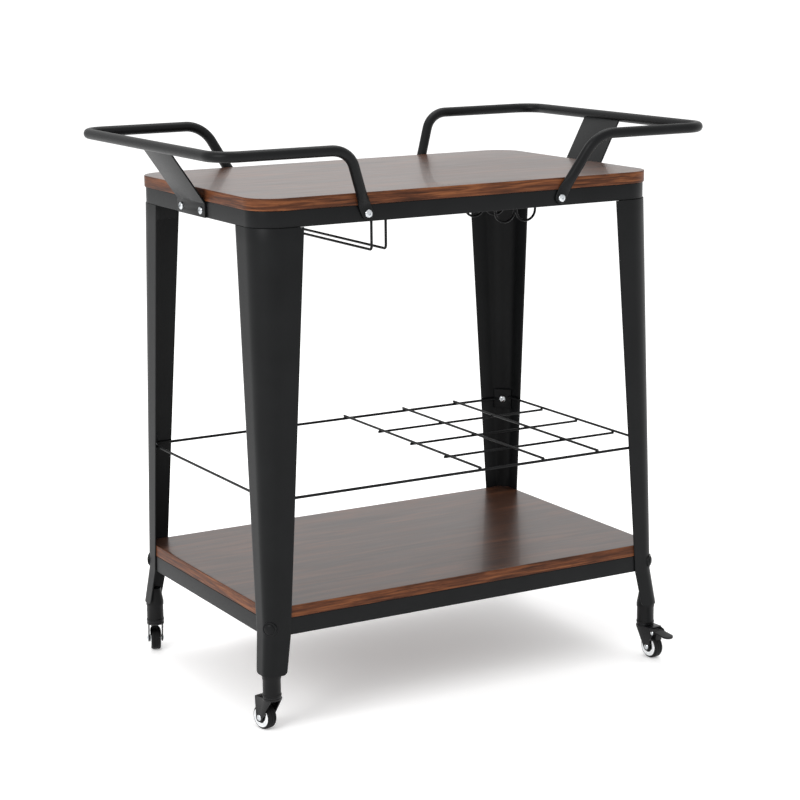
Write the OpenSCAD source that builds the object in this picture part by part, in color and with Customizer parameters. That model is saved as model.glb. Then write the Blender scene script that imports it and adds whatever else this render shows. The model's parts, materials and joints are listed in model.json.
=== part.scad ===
// Two-tier bar cart on swivel casters: wooden boards in steel frames, tapered sheet legs,
// tube handles, a wire bottle rack, a glass hanger and double hooks.
// Origin: centre of the footprint at floor level. +X runs along the cart, +Z is up.

/* [Table top] */
// Length of the table top
top_l = 692; // [560:1:900]
// Width of the table top
top_w = 436; // [360:1:560]
// Height of the table top's surface above the floor
top_z = 790; // [640:1:960]
// Thickness of both wooden boards
board_t = 18; // [12:0.5:25]
// Radius of the table top's corners in plan
top_r = 46; // [30:1:60]

/* [Frames] */
// Thickness of the frame sheet
frame_sheet = 2; // [1.5:0.1:3]
// Setback of the top frame from the edge of the table top
frame_inset = 2; // [1:0.5:6]
// Height of the frame under the table top
top_frame_h = 25; // [20:1:40]
// Height of the frame under the lower shelf
shelf_frame_h = 26; // [20:1:40]
// Width of the cross bars that carry the boards
bar_w = 24; // [16:1:40]
// Thickness of the cross bars
bar_t = 3; // [2:0.5:5]

/* [Lower shelf] */
// Height of the lower shelf's surface above the floor
shelf_z = 190; // [170:1:260]

/* [Legs] */
// Thickness of the leg sheet
leg_sheet = 1.5; // [1:0.1:2.5]
// Height of the bottom edge of the leg sheet
leg_foot_z = 88; // [70:1:110]
// Outward slant along X from the top of a leg to its foot
leg_slant_x = 4; // [0:0.5:15]
// Outward slant along Y from the top of a leg to its foot
leg_slant_y = 8; // [0:0.5:15]
// Extra outward kick along X between the shelf's frame and the foot
leg_kick_x = 6.5; // [0:0.5:15]
// Extra outward kick along Y between the shelf's frame and the foot
leg_kick_y = 5; // [0:0.5:15]
// Width of the end face of a leg along Y at the top
leg_top_wy = 76; // [60:1:95]
// Width of the end face of a leg along Y at the foot
leg_foot_wy = 34; // [30:1:50]
// Width of the long face of a leg along X at the top
leg_top_wx = 73; // [60:1:95]
// Width of the long face of a leg along X at the foot
leg_foot_wx = 34; // [22:1:50]
// Outer corner radius of a leg at the foot
leg_foot_r = 16; // [14:0.5:20]

/* [Handles] */
// Diameter of the handle tube
tube_d = 16; // [12:1:22]
// Height of the tube's centreline above the table top
handle_rise = 66; // [50:1:120]
// Distance from the cart's middle to the centreline of the end bars
handle_x = 420; // [400:1:560]
// Distance from the cart's middle to the centreline of the side runs
handle_y = 249; // [225:1:340]
// Plan radius of the handle's outer corners
handle_corner_r = 36; // [28:1:60]
// Bend radius where a side run turns down
handle_drop_r = 45; // [30:1:55]
// Angle that each handle end leans away from vertical along X
handle_rake = 24; // [5:1:30]
// Distance from the cart's middle to the handle end bolts
handle_bolt_x = 168; // [120:1:200]
// Width of the handle plates
plate_w = 98; // [80:1:120]
// Thickness of the handle plates
plate_t = 3; // [2:0.5:4]
// Distance between the two bolts of a handle plate
plate_pitch = 70; // [50:1:74]
// Sideways shift of a handle plate from its foot to the tube
plate_skew = 34; // [0:1:50]

/* [Bottle rack] */
// Height of the rack's long rods above the floor
rack_z = 351; // [300:1:420]
// Diameter of the rack's two long rods
rod_d = 4.5; // [4:0.5:8]
// Diameter of all other wires
wire_d = 4; // [3:0.5:6]
// Positions of the three cross wires between the bottle cells
rack_cross_x = [22, 137, 239]; // [0:1:260]
// Positions of the three divider wires
rack_long_y = [95, -10, -116]; // [-150:1:150]

/* [Hangers] */
// Drop from the underside of the table top to the lowest wire centre
hanger_drop = 69; // [50:1:100]
// Middle of the slot between the two glass wires
glass_x = -142; // [-200:1:-120]
// Distance between the two glass wires
glass_gap = 24; // [18:1:40]
// Position of the double hooks along X
hook_x = 196; // [140:1:200]
// Distance of each double hook from the cart's middle along Y
hook_y = 46; // [30:1:120]
// Centreline radius of a hook
hook_r = 17.5; // [12:0.5:22]

/* [Casters] */
// Diameter of the wheels over the tyre
wheel_d = 38; // [34:0.5:40]
// Width of the tyres
tyre_w = 16; // [12:0.5:18]
// Distance from the swivel axis to the axle
trail = 17; // [14:0.5:20]
// Height of a caster from the floor to the foot insert
caster_h = 55; // [48:0.5:60]
// Direction of the front left caster's trail, in degrees from +X
turn_fl = 105; // [0:1:359]
// Direction of the front right caster's trail
turn_fr = 275; // [0:1:359]
// Direction of the back left caster's trail
turn_bl = 70; // [0:1:359]
// Direction of the back right caster's trail
turn_br = 120; // [0:1:359]

/* [Hidden] */
$fn = 64;

black = [0.13, 0.13, 0.14];
rubber_black = [0.08, 0.08, 0.08];
walnut = [0.36, 0.22, 0.15];
silver = [0.8, 0.8, 0.82];

eps = 0.01;            // thickness of a hull's thin slices
seat_gap = 0.3;        // clearance between a seated piece and what holds it
pin_gap = 0.05;        // radial clearance of a fastener or a pin in its hole
pane = 0.8;            // depth that a fastener's tip stays inside a blind sheet
hull_fn = 32;

// Heights of the two decks
top_under = top_z - board_t;
top_frame_z = top_under - top_frame_h;
shelf_under = shelf_z - board_t;
shelf_frame_z = shelf_under - shelf_frame_h;

// Half sizes of the top frame in plan
frame_x = top_l / 2 - frame_inset;
frame_y = top_w / 2 - frame_inset;
frame_r = top_r - frame_inset;

// Legs: every width and radius runs straight from the top edge to the foot, and the
// outer faces lean out a second time below the shelf's frame
leg_top_z = top_frame_z;
leg_proud = [0.5, 2];  // how far a leg's faces stand out from the top frame along X and Y
function leg_t(z) = (leg_top_z - z) / (leg_top_z - leg_foot_z);
function along(a, b, z) = a + (b - a) * leg_t(z);
leg_bend_z = shelf_frame_z;
function kick(z) = max(0, (leg_bend_z - z) / (leg_bend_z - leg_foot_z));
function leg_x(z) = frame_x + leg_proud[0] + leg_slant_x * leg_t(z) + leg_kick_x * kick(z);
function leg_y(z) = frame_y + leg_proud[1] + leg_slant_y * leg_t(z) + leg_kick_y * kick(z);
function leg_r(z) = along(frame_r + leg_proud[0], leg_foot_r, z);
function leg_wx(z) = along(leg_top_wx, leg_foot_wx, z);
function leg_wy(z) = along(leg_top_wy, leg_foot_wy, z);

// How fast a leg's outermost corner line leans out, from how fast its two faces do together
corner_drop = (frame_r + leg_proud[0] - leg_foot_r) / (leg_top_z - leg_foot_z);
slant_sum = (leg_slant_x + leg_slant_y) / (leg_top_z - leg_foot_z);
function corner_lean(faces) = (faces + 2 * corner_drop) / sqrt(2) - corner_drop;

// The tongue of a leg stands inside the top frame
tongue_t = 2;
tongue_gap = 0.1;
tongue_x = frame_x - frame_sheet - tongue_gap;
tongue_y = frame_y - frame_sheet - tongue_gap;
tongue_r = frame_r - frame_sheet - tongue_gap;
tongue_w = 62;
tongue_down = 32;
pad_w = 16;            // width of the weld pads between a tongue and the leg sheet
pad_bite = 0.2;        // how far a weld pad starts inside the tongue
tongue_bolt_in = 52;   // from the tongue's corner to a bolt, along either face
tongue_bolt_z = top_frame_z + 9;

// The lower deck fits inside the legs
deck_x = leg_x(shelf_z) - leg_sheet - seat_gap;
deck_y = leg_y(shelf_z) - leg_sheet - seat_gap;
deck_r = leg_r(shelf_z) - leg_sheet;
shelf_bolt_z = shelf_frame_z + shelf_frame_h / 2;

// Corner order: front left, front right, back left, back right
CORNERS = [[-1, -1], [1, -1], [-1, 1], [1, 1]];
TURNS = [turn_fl, turn_fr, turn_bl, turn_br];
BRAKED = [false, true, true, false];

// Fasteners
m6 = 3;
m6_head_r = 6;
m6_head_h = 3.4;
nut_r = 5.8;
nut_h = 5;
cap_r = 11;
cap_dome_r = 8;        // the dome stands on a wider rim
cap_h = 3;
cap_rim = 0.8;         // height of the cap's rim above the leg's corner
cap_sink = 3.8;        // how far the rim reaches round the corner
shelf_bolt_in = 1;     // how far a corner bolt runs past the frame's sheet
screw_r = 2;
screw_head_r = 3.6;
screw_head_h = 1.6;
screw_tip_r = 2.5;
screw_l = 10;

// Cross bars under the boards, and the screws that hold each board down
bar_x = 250;
bar_screw_y = [-150, 0, 150];
hanger_pad = [14, 2];  // width and thickness of the hangers' screw pads
glass_pad_l = 64;
hook_pad_l = 44;
glass_pad_y = frame_y - frame_sheet - 11;
glass_screw = 25;      // from the middle of a glass pad to each of its screws
hook_screw = 15;       // from the middle of a hook pad to each of its screws
bar_screws = [for (s = [-1, 1], y = bar_screw_y) [s * bar_x, y]];
pad_screws = concat(
  [for (s = [-1, 1], k = [-1, 1]) [glass_x + k * glass_screw, s * glass_pad_y]],
  [for (s = [-1, 1], k = [-1, 1]) [hook_x + k * hook_screw, s * hook_y]]
);
screw_points_top = concat(bar_screws, pad_screws);

// Handles
handle_z = top_z + handle_rise;
tab_t = 5;
tab_w = 20;
tab_z = top_frame_z + top_frame_h / 2 - 0.5;
tab_y = frame_y + tab_t / 2;
handle_lean = atan2(handle_y - tab_y, handle_z - tab_z);
tab_up = 20;           // from the bolt to where the round tube ends
tab_reach = 17;        // from the bolt to the end of the flat tab
neck = 30;             // from the bolt to the top of the squashed stretch
seam_l = 1;            // length of the ring where two stretches of a handle meet
seam_over = 0.1;       // how much wider than the tube that ring is
plate_bolt_z = top_frame_z + 10;
plate_mid = 5;
plate_face = frame_x;
plate_bend_z = top_under - 4;
plate_sink = [5, 3];   // how far a plate's top edge stays from the tube's centreline along X and Z

// Bottle rack: brackets sit across the inside of each leg's corner
bracket = [30, 2, 34]; // length, thickness and height
bracket_r = leg_r(rack_z + bracket[2] / 2) - leg_sheet;
bracket_in = sqrt(pow(bracket_r, 2) - pow(bracket[0] / 2, 2)) - bracket[1];
bracket_cx = leg_x(rack_z + bracket[2] / 2) - leg_sheet - bracket_r;
bracket_cy = leg_y(rack_z + bracket[2] / 2) - leg_sheet - bracket_r;
rod_in = 8.3;          // how far the rods and the end wires sit outside the middle of a bracket
end_wire_in = 8;
rod_y = bracket_cy + bracket_in / sqrt(2) + rod_in;
end_wire_x = bracket_cx + bracket_in / sqrt(2) + end_wire_in;
rack_corner_x = leg_x(rack_z) - leg_r(rack_z);
rack_corner_y = leg_y(rack_z) - leg_r(rack_z);
rack_corner_off = (rack_corner_x - bracket_cx + rack_corner_y - bracket_cy) / sqrt(2);
rack_bolt_l = leg_r(rack_z) - leg_sheet + rack_corner_off - bracket_in + pane;
cross_z = rack_z + (rod_d + wire_d) / 2;
wire_over = 3;         // how far a welded wire runs past the one it crosses

// Casters
foot_r = leg_foot_r - leg_sheet - seat_gap / 2;
foot_x = leg_x(leg_foot_z) - leg_foot_r;
foot_y = leg_y(leg_foot_z) - leg_foot_r;
foot_up = 22;          // length of the foot insert inside the leg
// The insert slims upward as fast as the inside of the leg's leaning corner closes in
kick_sum = (leg_kick_x + leg_kick_y) / (leg_bend_z - leg_foot_z);
foot_taper = foot_up * corner_lean(slant_sum + kick_sum) + seat_gap / 2;
axle_z = wheel_d / 2;
axle_r = 2.5;
stem_r = 4;
king_r = 3.5;
cap_t = 2.2;
race_gap = 0.4;
yoke_t = 3;
yoke_top = caster_h - cap_t - race_gap;
cheek_t = 2;
cheek_in = tyre_w / 2 + 2.2;
cheek_out = cheek_in + cheek_t;
hub_r = 12.5;
ring_in = 8.5;
ring_out = 15.5;
ring_t = 0.9;
tyre_edge = 4;
pivot_x = trail + 13;
pivot_z = yoke_top - yoke_t - 4;
pivot_r = 1.8;
lever_r = 3.2;
pedal_l = 33;
pedal_w = 19;
pedal_t = 2.6;
shoe_gap = 2.1;
shoe_drop = 13.5;
fork_back = 8;         // how far the yoke's top runs behind the axle
fork_front = 9;        // and how far its cheeks start in front of the swivel axis

// ---------- shared shapes ----------

// Rounded rectangle given by its half sizes
module plan(hx, hy, r) {
  square([2 * hx, 2 * (hy - r)], center = true);
  square([2 * (hx - r), 2 * hy], center = true);
  for (sx = [-1, 1], sy = [-1, 1])
    translate([sx * (hx - r), sy * (hy - r)]) circle(r);
}

// Places its children at a corner of the cart, mirrored from the back right one
module corner(s) {
  mirror([s[0] < 0 ? 1 : 0, 0, 0])
    mirror([0, s[1] < 0 ? 1 : 0, 0])
      children();
}

// Round bar between two points
module bar(a, b, d) {
  v = b - a;
  translate(a)
    rotate([0, acos(v[2] / norm(v)), atan2(v[1], v[0])])
      cylinder(h = norm(v), d = d);
}

// Domed cap of a head, standing on z = 0
module dome(r, h) {
  ball = (r * r + h * h) / (2 * h);
  intersection() {
    translate([0, 0, h - ball]) sphere(ball);
    cylinder(h = h, r = r);
  }
}

// Button-head bolt: the head stands on z = 0 and the shank runs down
module button_bolt(shank_r, head_r, head_h, len) {
  difference() {
    dome(head_r, head_h);
    translate([0, 0, head_h - 1.6]) cylinder(h = 3, r = shank_r * 0.62, $fn = 6);
  }
  translate([0, 0, -len]) cylinder(h = len, r = shank_r);
}

// ---------- boards and frames ----------

module board(hx, hy, r, under) {
  color(walnut)
    difference() {
      translate([0, 0, under]) linear_extrude(board_t) plan(hx, hy, r);
      children();
    }
}

module screw_holes(points, under) {
  for (p = points) translate([p[0], p[1], under - eps]) cylinder(h = screw_l, r = screw_r);
}

module tabletop_board() {
  board(top_l / 2, top_w / 2, top_r, top_under) screw_holes(screw_points_top, top_under);
}

module shelf_board() {
  board(deck_x, deck_y, deck_r, shelf_under) screw_holes(bar_screws, shelf_under);
}

// Sheet ring with two cross bars that carry a board
module ring_frame(hx, hy, r, z, h) {
  translate([0, 0, z])
    difference() {
      linear_extrude(h) plan(hx, hy, r);
      translate([0, 0, -1])
        linear_extrude(h + 2) plan(hx - frame_sheet, hy - frame_sheet, r - frame_sheet);
    }
  for (s = [-1, 1])
    translate([s * bar_x - bar_w / 2, -(hy - frame_sheet), z + h - bar_t])
      difference() {
        cube([bar_w, 2 * (hy - frame_sheet), bar_t]);
        for (y = bar_screw_y)
          translate([bar_w / 2, hy - frame_sheet + y, -1]) cylinder(h = bar_t + 2, r = screw_r + pin_gap);
      }
}

module top_frame() {
  color(black)
    difference() {
      ring_frame(frame_x, frame_y, frame_r, top_frame_z, top_frame_h);
      for (s = CORNERS) corner(s) tongue_drills();
      for (s = [-1, 1]) plate_drills(s);
      for (s = CORNERS) corner(s)
        translate([handle_bolt_x, frame_y + 1, tab_z])
          rotate([90, 0, 0]) cylinder(h = frame_sheet + 2, r = m6 + pin_gap);
    }
}

module shelf_frame() {
  color(black)
    difference() {
      ring_frame(deck_x, deck_y, deck_r, shelf_frame_z, shelf_frame_h);
      for (s = CORNERS) corner(s) shelf_bolt_drill();
    }
}

// ---------- legs ----------

// Corner wedge of the leg between two heights, shrunk by skin on the outside
module leg_wedge(z0, z1, skin, over) {
  hull()
    for (z = [z0, z1]) {
      x = leg_x(z) - skin;
      y = leg_y(z) - skin;
      r = leg_r(z) - skin;
      wx = leg_wx(z) - skin + over;
      wy = leg_wy(z) - skin + over;
      intersection() {
        translate([x - r, y - r, z]) cylinder(h = eps, r = r);
        translate([x - r, y - r, z]) cube([r, r, eps]);
      }
      translate([x - wx, y - wy, z]) cube([wx, eps, eps]);
      translate([x - wx, y - eps, z]) cube([eps, eps, eps]);
      translate([x - eps, y - wy, z]) cube([eps, eps, eps]);
    }
}

// Corner piece inside the top frame
module tongue_plan(inset) {
  intersection() {
    plan(tongue_x - inset, tongue_y - inset, tongue_r - inset);
    translate([tongue_x - tongue_w, tongue_y - tongue_w]) square(tongue_w);
  }
}

module tongue() {
  low = leg_top_z - tongue_down;
  difference() {
    translate([0, 0, low]) linear_extrude(top_under - bar_t - low - 1) tongue_plan(0);
    translate([0, 0, low - 1]) linear_extrude(top_under - low) tongue_plan(tongue_t);
  }
}

// Blind holes through the tongue and part way into the frame, one on each face
module tongue_drills() {
  tip = tongue_gap + pane;
  for (axis = [0, 1])
    translate(axis == 0 ? [tongue_x + tip, tongue_y - tongue_bolt_in, tongue_bolt_z]
                        : [tongue_x - tongue_bolt_in, tongue_y + tip, tongue_bolt_z])
      rotate(axis == 0 ? [0, -90, 0] : [90, 0, 0]) cylinder(h = tip + 2 * tongue_t, r = m6 + pin_gap);
}

module shelf_bolt_drill() {
  r = leg_r(shelf_bolt_z);
  translate([leg_x(shelf_bolt_z) - r, leg_y(shelf_bolt_z) - r, shelf_bolt_z])
    rotate([0, 90, 45]) cylinder(h = r + 10, r = m6 + pin_gap);
}

module leg(s) {
  color(black)
    corner(s)
      difference() {
        union() {
          difference() {
            union() {
              leg_wedge(leg_foot_z, leg_bend_z, 0, 0);
              leg_wedge(leg_bend_z, leg_top_z - eps, 0, 0);
            }
            leg_wedge(leg_foot_z - 5, leg_bend_z, leg_sheet, 8);
            leg_wedge(leg_bend_z, leg_top_z + 5, leg_sheet, 8);
          }
          tongue();
          tongue_pads();
        }
        tongue_drills();
        shelf_bolt_drill();
        rack_bolt_axis() translate([0, 0, -rack_bolt_l]) cylinder(h = rack_bolt_l, r = m6 + pin_gap);
      }
}

// Weld pads between the tongue and the leg sheet below the frame
module tongue_pads() {
  low = leg_top_z - tongue_down + 2;
  tall = tongue_down - 4;
  out = pad_bite + frame_sheet + tongue_gap - leg_sheet / 2;
  near = tongue_w - 2;
  translate([tongue_x - pad_bite, tongue_y - near, low]) cube([out + leg_proud[0], pad_w, tall]);
  translate([tongue_x - near, tongue_y - pad_bite, low]) cube([pad_w, out + leg_proud[1], tall]);
}

// ---------- handles ----------

// One end of a handle, from the middle of the end bar to the bolt tab; s is the side along Y
module handle_half(s) {
  lean = handle_lean;
  turn = 90 - handle_rake;
  fall = (handle_z - tab_z) / cos(lean);
  run_x = handle_bolt_x + fall * tan(handle_rake) + handle_drop_r * tan(turn / 2);
  bend_x = handle_drop_r * cos(handle_rake);
  bend_z = handle_drop_r * (1 - sin(handle_rake));
  riser = (fall - bend_z - tab_up) / cos(handle_rake);
  // end bar, corner and side run
  bar([-handle_x, 0, handle_z], [-handle_x, s * (handle_y - handle_corner_r), handle_z], tube_d);
  translate([-handle_x + handle_corner_r, s * (handle_y - handle_corner_r), handle_z])
    rotate_extrude(angle = 90, start = s > 0 ? 90 : 180) translate([handle_corner_r, 0]) circle(d = tube_d);
  bar([-handle_x + handle_corner_r, s * handle_y, handle_z], [-run_x, s * handle_y, handle_z], tube_d);
  // bend and leaning riser
  translate([-run_x, s * handle_y, handle_z])
    rotate([-s * lean, 0, 0]) {
      translate([0, 0, -handle_drop_r])
        rotate([90, 0, 0])
          rotate_extrude(angle = turn, start = handle_rake) translate([handle_drop_r, 0]) circle(d = tube_d);
      translate([bend_x, 0, -bend_z])
        rotate([0, 180 - handle_rake, 0]) {
          cylinder(h = riser, d = tube_d);
          seam_ring();
        }
      rotate([0, 90, 0]) seam_ring();
    }
}

// Low ring that joins two stretches of the tube
module seam_ring() {
  translate([0, 0, -seam_l / 2]) cylinder(h = seam_l, d = tube_d + seam_over);
}

// Flattened end of the tube with its bolt hole
module handle_tab(s) {
  translate([-handle_bolt_x, s * tab_y, tab_z])
    rotate([90, 0, 0])
      rotate([0, 0, handle_rake])
        difference() {
          union() {
            translate([0, 0, -tab_t / 2]) cylinder(h = tab_t, d = tab_w);
            translate([-tab_w / 2, 0, -tab_t / 2]) cube([tab_w, tab_reach, tab_t]);
          }
          translate([0, 0, -tab_t]) cylinder(h = 2 * tab_t, r = m6 + pin_gap);
        }
}

// Squashed stretch between the round tube and the flat tab
module handle_neck(s) {
  hull() {
    translate([-handle_bolt_x, s * tab_y, tab_z])
      rotate([90, 0, 0]) rotate([0, 0, handle_rake])
        translate([-tab_w / 2, tab_reach - 7, -tab_t / 2]) cube([tab_w, 6, tab_t]);
    translate([-handle_bolt_x - neck * sin(handle_rake), s * (tab_y + neck * tan(handle_lean)),
               tab_z + neck * cos(handle_rake)])
      rotate([-s * handle_lean, -handle_rake, 0]) cylinder(h = 3, d = tube_d, $fn = hull_fn);
  }
}

module handle() {
  color(black)
    difference() {
      for (s = [-1, 1]) {
        handle_half(s);
        handle_tab(s);
        handle_neck(s);
      }
      frame_keepout();
    }
}

// Everything on the cart's side of the top frame's faces
module frame_keepout() {
  translate([0, 0, top_frame_z - 30]) linear_extrude(top_frame_h + 30) plan(frame_x, frame_y, frame_r);
  board_keepout();
}

// The table top with a small clearance all round
module board_keepout() {
  translate([0, 0, top_under - eps])
    linear_extrude(board_t + seat_gap)
      plan(top_l / 2 + seat_gap, top_w / 2 + seat_gap, top_r);
}

module handle_left() handle();
module handle_right() rotate(180) handle();

// Upper leaf of a handle plate: it slopes from the bend up into the tube
module plate_leaf(up, out) {
  low = [-plate_face, plate_mid, plate_bend_z];
  high = [-out, plate_mid - plate_skew, up];
  half = plate_w / 2;
  polyhedron(
    points = [for (p = [low, high], x = [0, -plate_t], y = [-half, half]) p + [x, y, 0]],
    faces = [[0, 1, 3, 2], [4, 6, 7, 5], [0, 4, 5, 1], [2, 3, 7, 6], [0, 2, 6, 4], [1, 5, 7, 3]]
  );
}

// Sloping plate from the end face of the top frame to the end bar, for the left handle
module handle_plate() {
  tall = plate_bend_z - top_frame_z;
  color(black)
    difference() {
      union() {
        translate([-plate_face - plate_t, plate_mid - plate_w / 2, top_frame_z])
          cube([plate_t, plate_w, tall]);
        plate_leaf(handle_z - plate_sink[1], handle_x - plate_sink[0]);
      }
      bar([-handle_x, -handle_y, handle_z], [-handle_x, handle_y, handle_z], tube_d);
      plate_drills(-1);
    }
}

module handle_plate_left() handle_plate();
module handle_plate_right() rotate(180) handle_plate();

module plate_drills(s) {
  for (k = [-1, 1])
    translate([s * (plate_face + plate_t + 1), -s * (plate_mid + k * plate_pitch / 2), plate_bolt_z])
      rotate([0, -s * 90, 0]) cylinder(h = plate_t + frame_sheet + 2, r = m6 + pin_gap);
}

// ---------- fasteners ----------

// Stations of the eight handle bolts: position and direction of the head
function handle_stations() = concat(
  [for (s = CORNERS) [[s[0] * handle_bolt_x, s[1] * (frame_y + tab_t), tab_z], s[1] * 90, tab_t]],
  [for (s = [-1, 1], k = [-1, 1])
    [[s * (frame_x + plate_t), -s * (plate_mid + k * plate_pitch / 2), plate_bolt_z],
     s > 0 ? 0 : 180, plate_t]]
);

module handle_bolts() {
  color(silver)
    for (p = handle_stations())
      translate(p[0]) rotate([0, 90, p[1]])
        button_bolt(m6, m6_head_r, m6_head_h, p[2] + frame_sheet + nut_h + 1);
}

module handle_nuts() {
  color(silver)
    for (p = handle_stations())
      translate(p[0]) rotate([0, 90, p[1]])
        translate([0, 0, -p[2] - frame_sheet - nut_h])
          difference() {
            cylinder(h = nut_h, r = nut_r, $fn = 6);
            translate([0, 0, -1]) cylinder(h = nut_h + 2, r = m6 + pin_gap);
          }
}

// Bolts that hold the tongues inside the top frame, heads inside
module leg_bolts() {
  color(silver)
    for (s = CORNERS) corner(s)
      for (axis = [0, 1])
        translate(axis == 0 ? [tongue_x - tongue_t, tongue_y - tongue_bolt_in, tongue_bolt_z]
                            : [tongue_x - tongue_bolt_in, tongue_y - tongue_t, tongue_bolt_z])
          rotate(axis == 0 ? [0, -90, 0] : [90, 0, 0])
            button_bolt(m6, m6_head_r, m6_head_h, tongue_t + tongue_gap + pane);
}

// Capped bolts through each leg's round corner into the shelf frame
module shelf_corner_bolts() {
  r = leg_r(shelf_bolt_z);
  color(black)
    for (s = CORNERS) corner(s)
      translate([leg_x(shelf_bolt_z) - r, leg_y(shelf_bolt_z) - r, shelf_bolt_z])
        rotate([0, 90, 45]) {
          translate([0, 0, r - leg_sheet - frame_sheet - shelf_bolt_in])
            cylinder(h = leg_sheet + frame_sheet + shelf_bolt_in + 2, r = m6);
          difference() {
            translate([0, 0, r - cap_sink]) {
              cylinder(h = cap_sink + cap_rim, r = cap_r);
              translate([0, 0, cap_sink + cap_rim]) dome(cap_dome_r, cap_h);
            }
            corner_skin(r + seat_gap + cap_r * corner_lean(slant_sum));
          }
        }
}

// The round outer face that a corner cap sits on
module corner_skin(r) {
  rotate([0, 90, 0]) translate([0, 0, -cap_r * 2]) cylinder(h = cap_r * 4, r = r);
}

module wood_screw(p, z) {
  translate([p[0], p[1], z]) {
    translate([0, 0, -screw_head_h]) cylinder(h = screw_head_h, r1 = screw_tip_r, r2 = screw_head_r);
    cylinder(h = screw_l, r = screw_r - pin_gap);
  }
}

module board_screws() {
  color(silver) {
    for (p = bar_screws) {
      wood_screw(p, top_under - bar_t);
      wood_screw(p, shelf_under - bar_t);
    }
    for (p = pad_screws) wood_screw(p, top_under - hanger_pad[1]);
  }
}

// ---------- bottle rack ----------

module bracket_plate(grow) {
  translate([bracket_cx, bracket_cy, rack_z - bracket[2] / 2])
    rotate(45)
      translate([bracket_in, -bracket[0] / 2 - grow, -grow])
        cube([bracket[1] + grow * 8, bracket[0] + 2 * grow, bracket[2] + 2 * grow]);
}

module bracket_cut() {
  for (s = CORNERS) corner(s) bracket_plate(4);
}

module rack_rods() {
  color(black)
    difference() {
      for (s = [-1, 1])
        bar([-end_wire_x, s * rod_y, rack_z], [end_wire_x, s * rod_y, rack_z], rod_d);
      bracket_cut();
    }
}

module rack_cross_wires() {
  over = rod_y + wire_over;
  color(black) {
    for (x = rack_cross_x) bar([x, -over, cross_z], [x, over, cross_z], wire_d);
    difference() {
      for (s = [-1, 1]) bar([s * end_wire_x, -rod_y, cross_z], [s * end_wire_x, rod_y, cross_z], wire_d);
      bracket_cut();
    }
  }
}

module rack_divider_wires() {
  z = cross_z - wire_d;
  color(black)
    for (y = rack_long_y)
      bar([rack_cross_x[0] - wire_over, y, z], [end_wire_x + wire_d / 4, y, z], wire_d);
}

module rack_brackets() {
  color(black)
    for (s = CORNERS) corner(s)
      difference() {
        bracket_plate(0);
        rack_bolt_axis() translate([0, 0, -10]) cylinder(h = 40, r = m6 + pin_gap);
      }
}

module rack_bolt_axis() {
  translate([bracket_cx, bracket_cy, rack_z]) rotate([0, -90, 45]) translate([0, 0, -bracket_in]) children();
}

module rack_bolts() {
  color(silver)
    for (s = CORNERS) corner(s) rack_bolt_axis() button_bolt(m6, m6_head_r, m6_head_h, rack_bolt_l);
}

// ---------- hangers ----------

module screw_pad(x, y, l) {
  difference() {
    translate([x - l / 2, y - hanger_pad[0] / 2, top_under - hanger_pad[1]])
      cube([l, hanger_pad[0], hanger_pad[1]]);
    for (p = pad_screws) translate([p[0], p[1], top_under - 5]) cylinder(h = 10, r = screw_r + pin_gap);
  }
}

// Two long wires with an upright and a soft bend at each end
module glass_wires() {
  low = top_under - hanger_drop;
  bend = 5;
  color(black) {
    for (k = [-1, 1]) {
      x = glass_x + k * glass_gap / 2;
      bar([x, -glass_pad_y + bend, low], [x, glass_pad_y - bend, low], wire_d);
      for (s = [-1, 1]) {
        bar([x, s * glass_pad_y, low + bend], [x, s * glass_pad_y, top_under - hanger_pad[1]], wire_d);
        translate([x, s * (glass_pad_y - bend), low + bend])
          rotate([0, 90, 0])
            rotate_extrude(angle = 90, start = s > 0 ? 0 : 270) translate([bend, 0]) circle(d = wire_d);
      }
    }
    for (s = [-1, 1]) screw_pad(glass_x, s * glass_pad_y, glass_pad_l);
  }
}

// Two hooked wires side by side, open outward, on one pad
module double_hook(y) {
  low = top_under - hanger_drop + hook_r;
  tip = 9;
  color(black) {
    for (k = [-1, 1]) {
      stem = hook_x + k * (wire_d / 2 - 0.1);
      bar([stem, y, low], [stem, y, top_under - hanger_pad[1]], wire_d);
      translate([stem + k * hook_r, y, low])
        rotate([90, 0, 0])
          rotate_extrude(angle = 180, start = 180) translate([hook_r, 0]) circle(d = wire_d);
      bar([stem + k * 2 * hook_r, y, low], [stem + k * 2 * (hook_r + 0.6), y, low + tip], wire_d);
    }
    screw_pad(hook_x, y, hook_pad_l);
  }
}

module double_hook_front() double_hook(-hook_y);
module double_hook_back() double_hook(hook_y);

// ---------- casters ----------

// Places its children at a corner's swivel axis, turned to the trail direction
module at_caster(i) {
  translate([CORNERS[i][0] * foot_x, CORNERS[i][1] * foot_y, 0]) rotate(TURNS[i]) children();
}

// Round insert in the bottom of a leg, bored for the caster's stem
module foot(i) {
  color(rubber_black)
    at_caster(i)
      difference() {
        union() {
          translate([0, 0, caster_h]) cylinder(h = leg_foot_z - caster_h, r = foot_r);
          translate([0, 0, leg_foot_z]) cylinder(h = foot_up, r1 = foot_r, r2 = foot_r - foot_taper);
        }
        translate([0, 0, caster_h - 1]) cylinder(h = foot_up + 8, r = stem_r + pin_gap);
      }
}

// Stem with the upper race, and the rivet that carries the yoke
module kingpin(i) {
  low = yoke_top - yoke_t - race_gap - 2;
  color(silver)
    at_caster(i) {
      translate([0, 0, caster_h - cap_t]) cylinder(h = cap_t, r = foot_r - 0.4);
      translate([0, 0, caster_h - eps]) cylinder(h = foot_up, r = stem_r);
      translate([0, 0, low]) cylinder(h = caster_h - cap_t - low + eps, r = king_r);
      translate([0, 0, low]) cylinder(h = 2, r = king_r + 2);
    }
}

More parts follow.
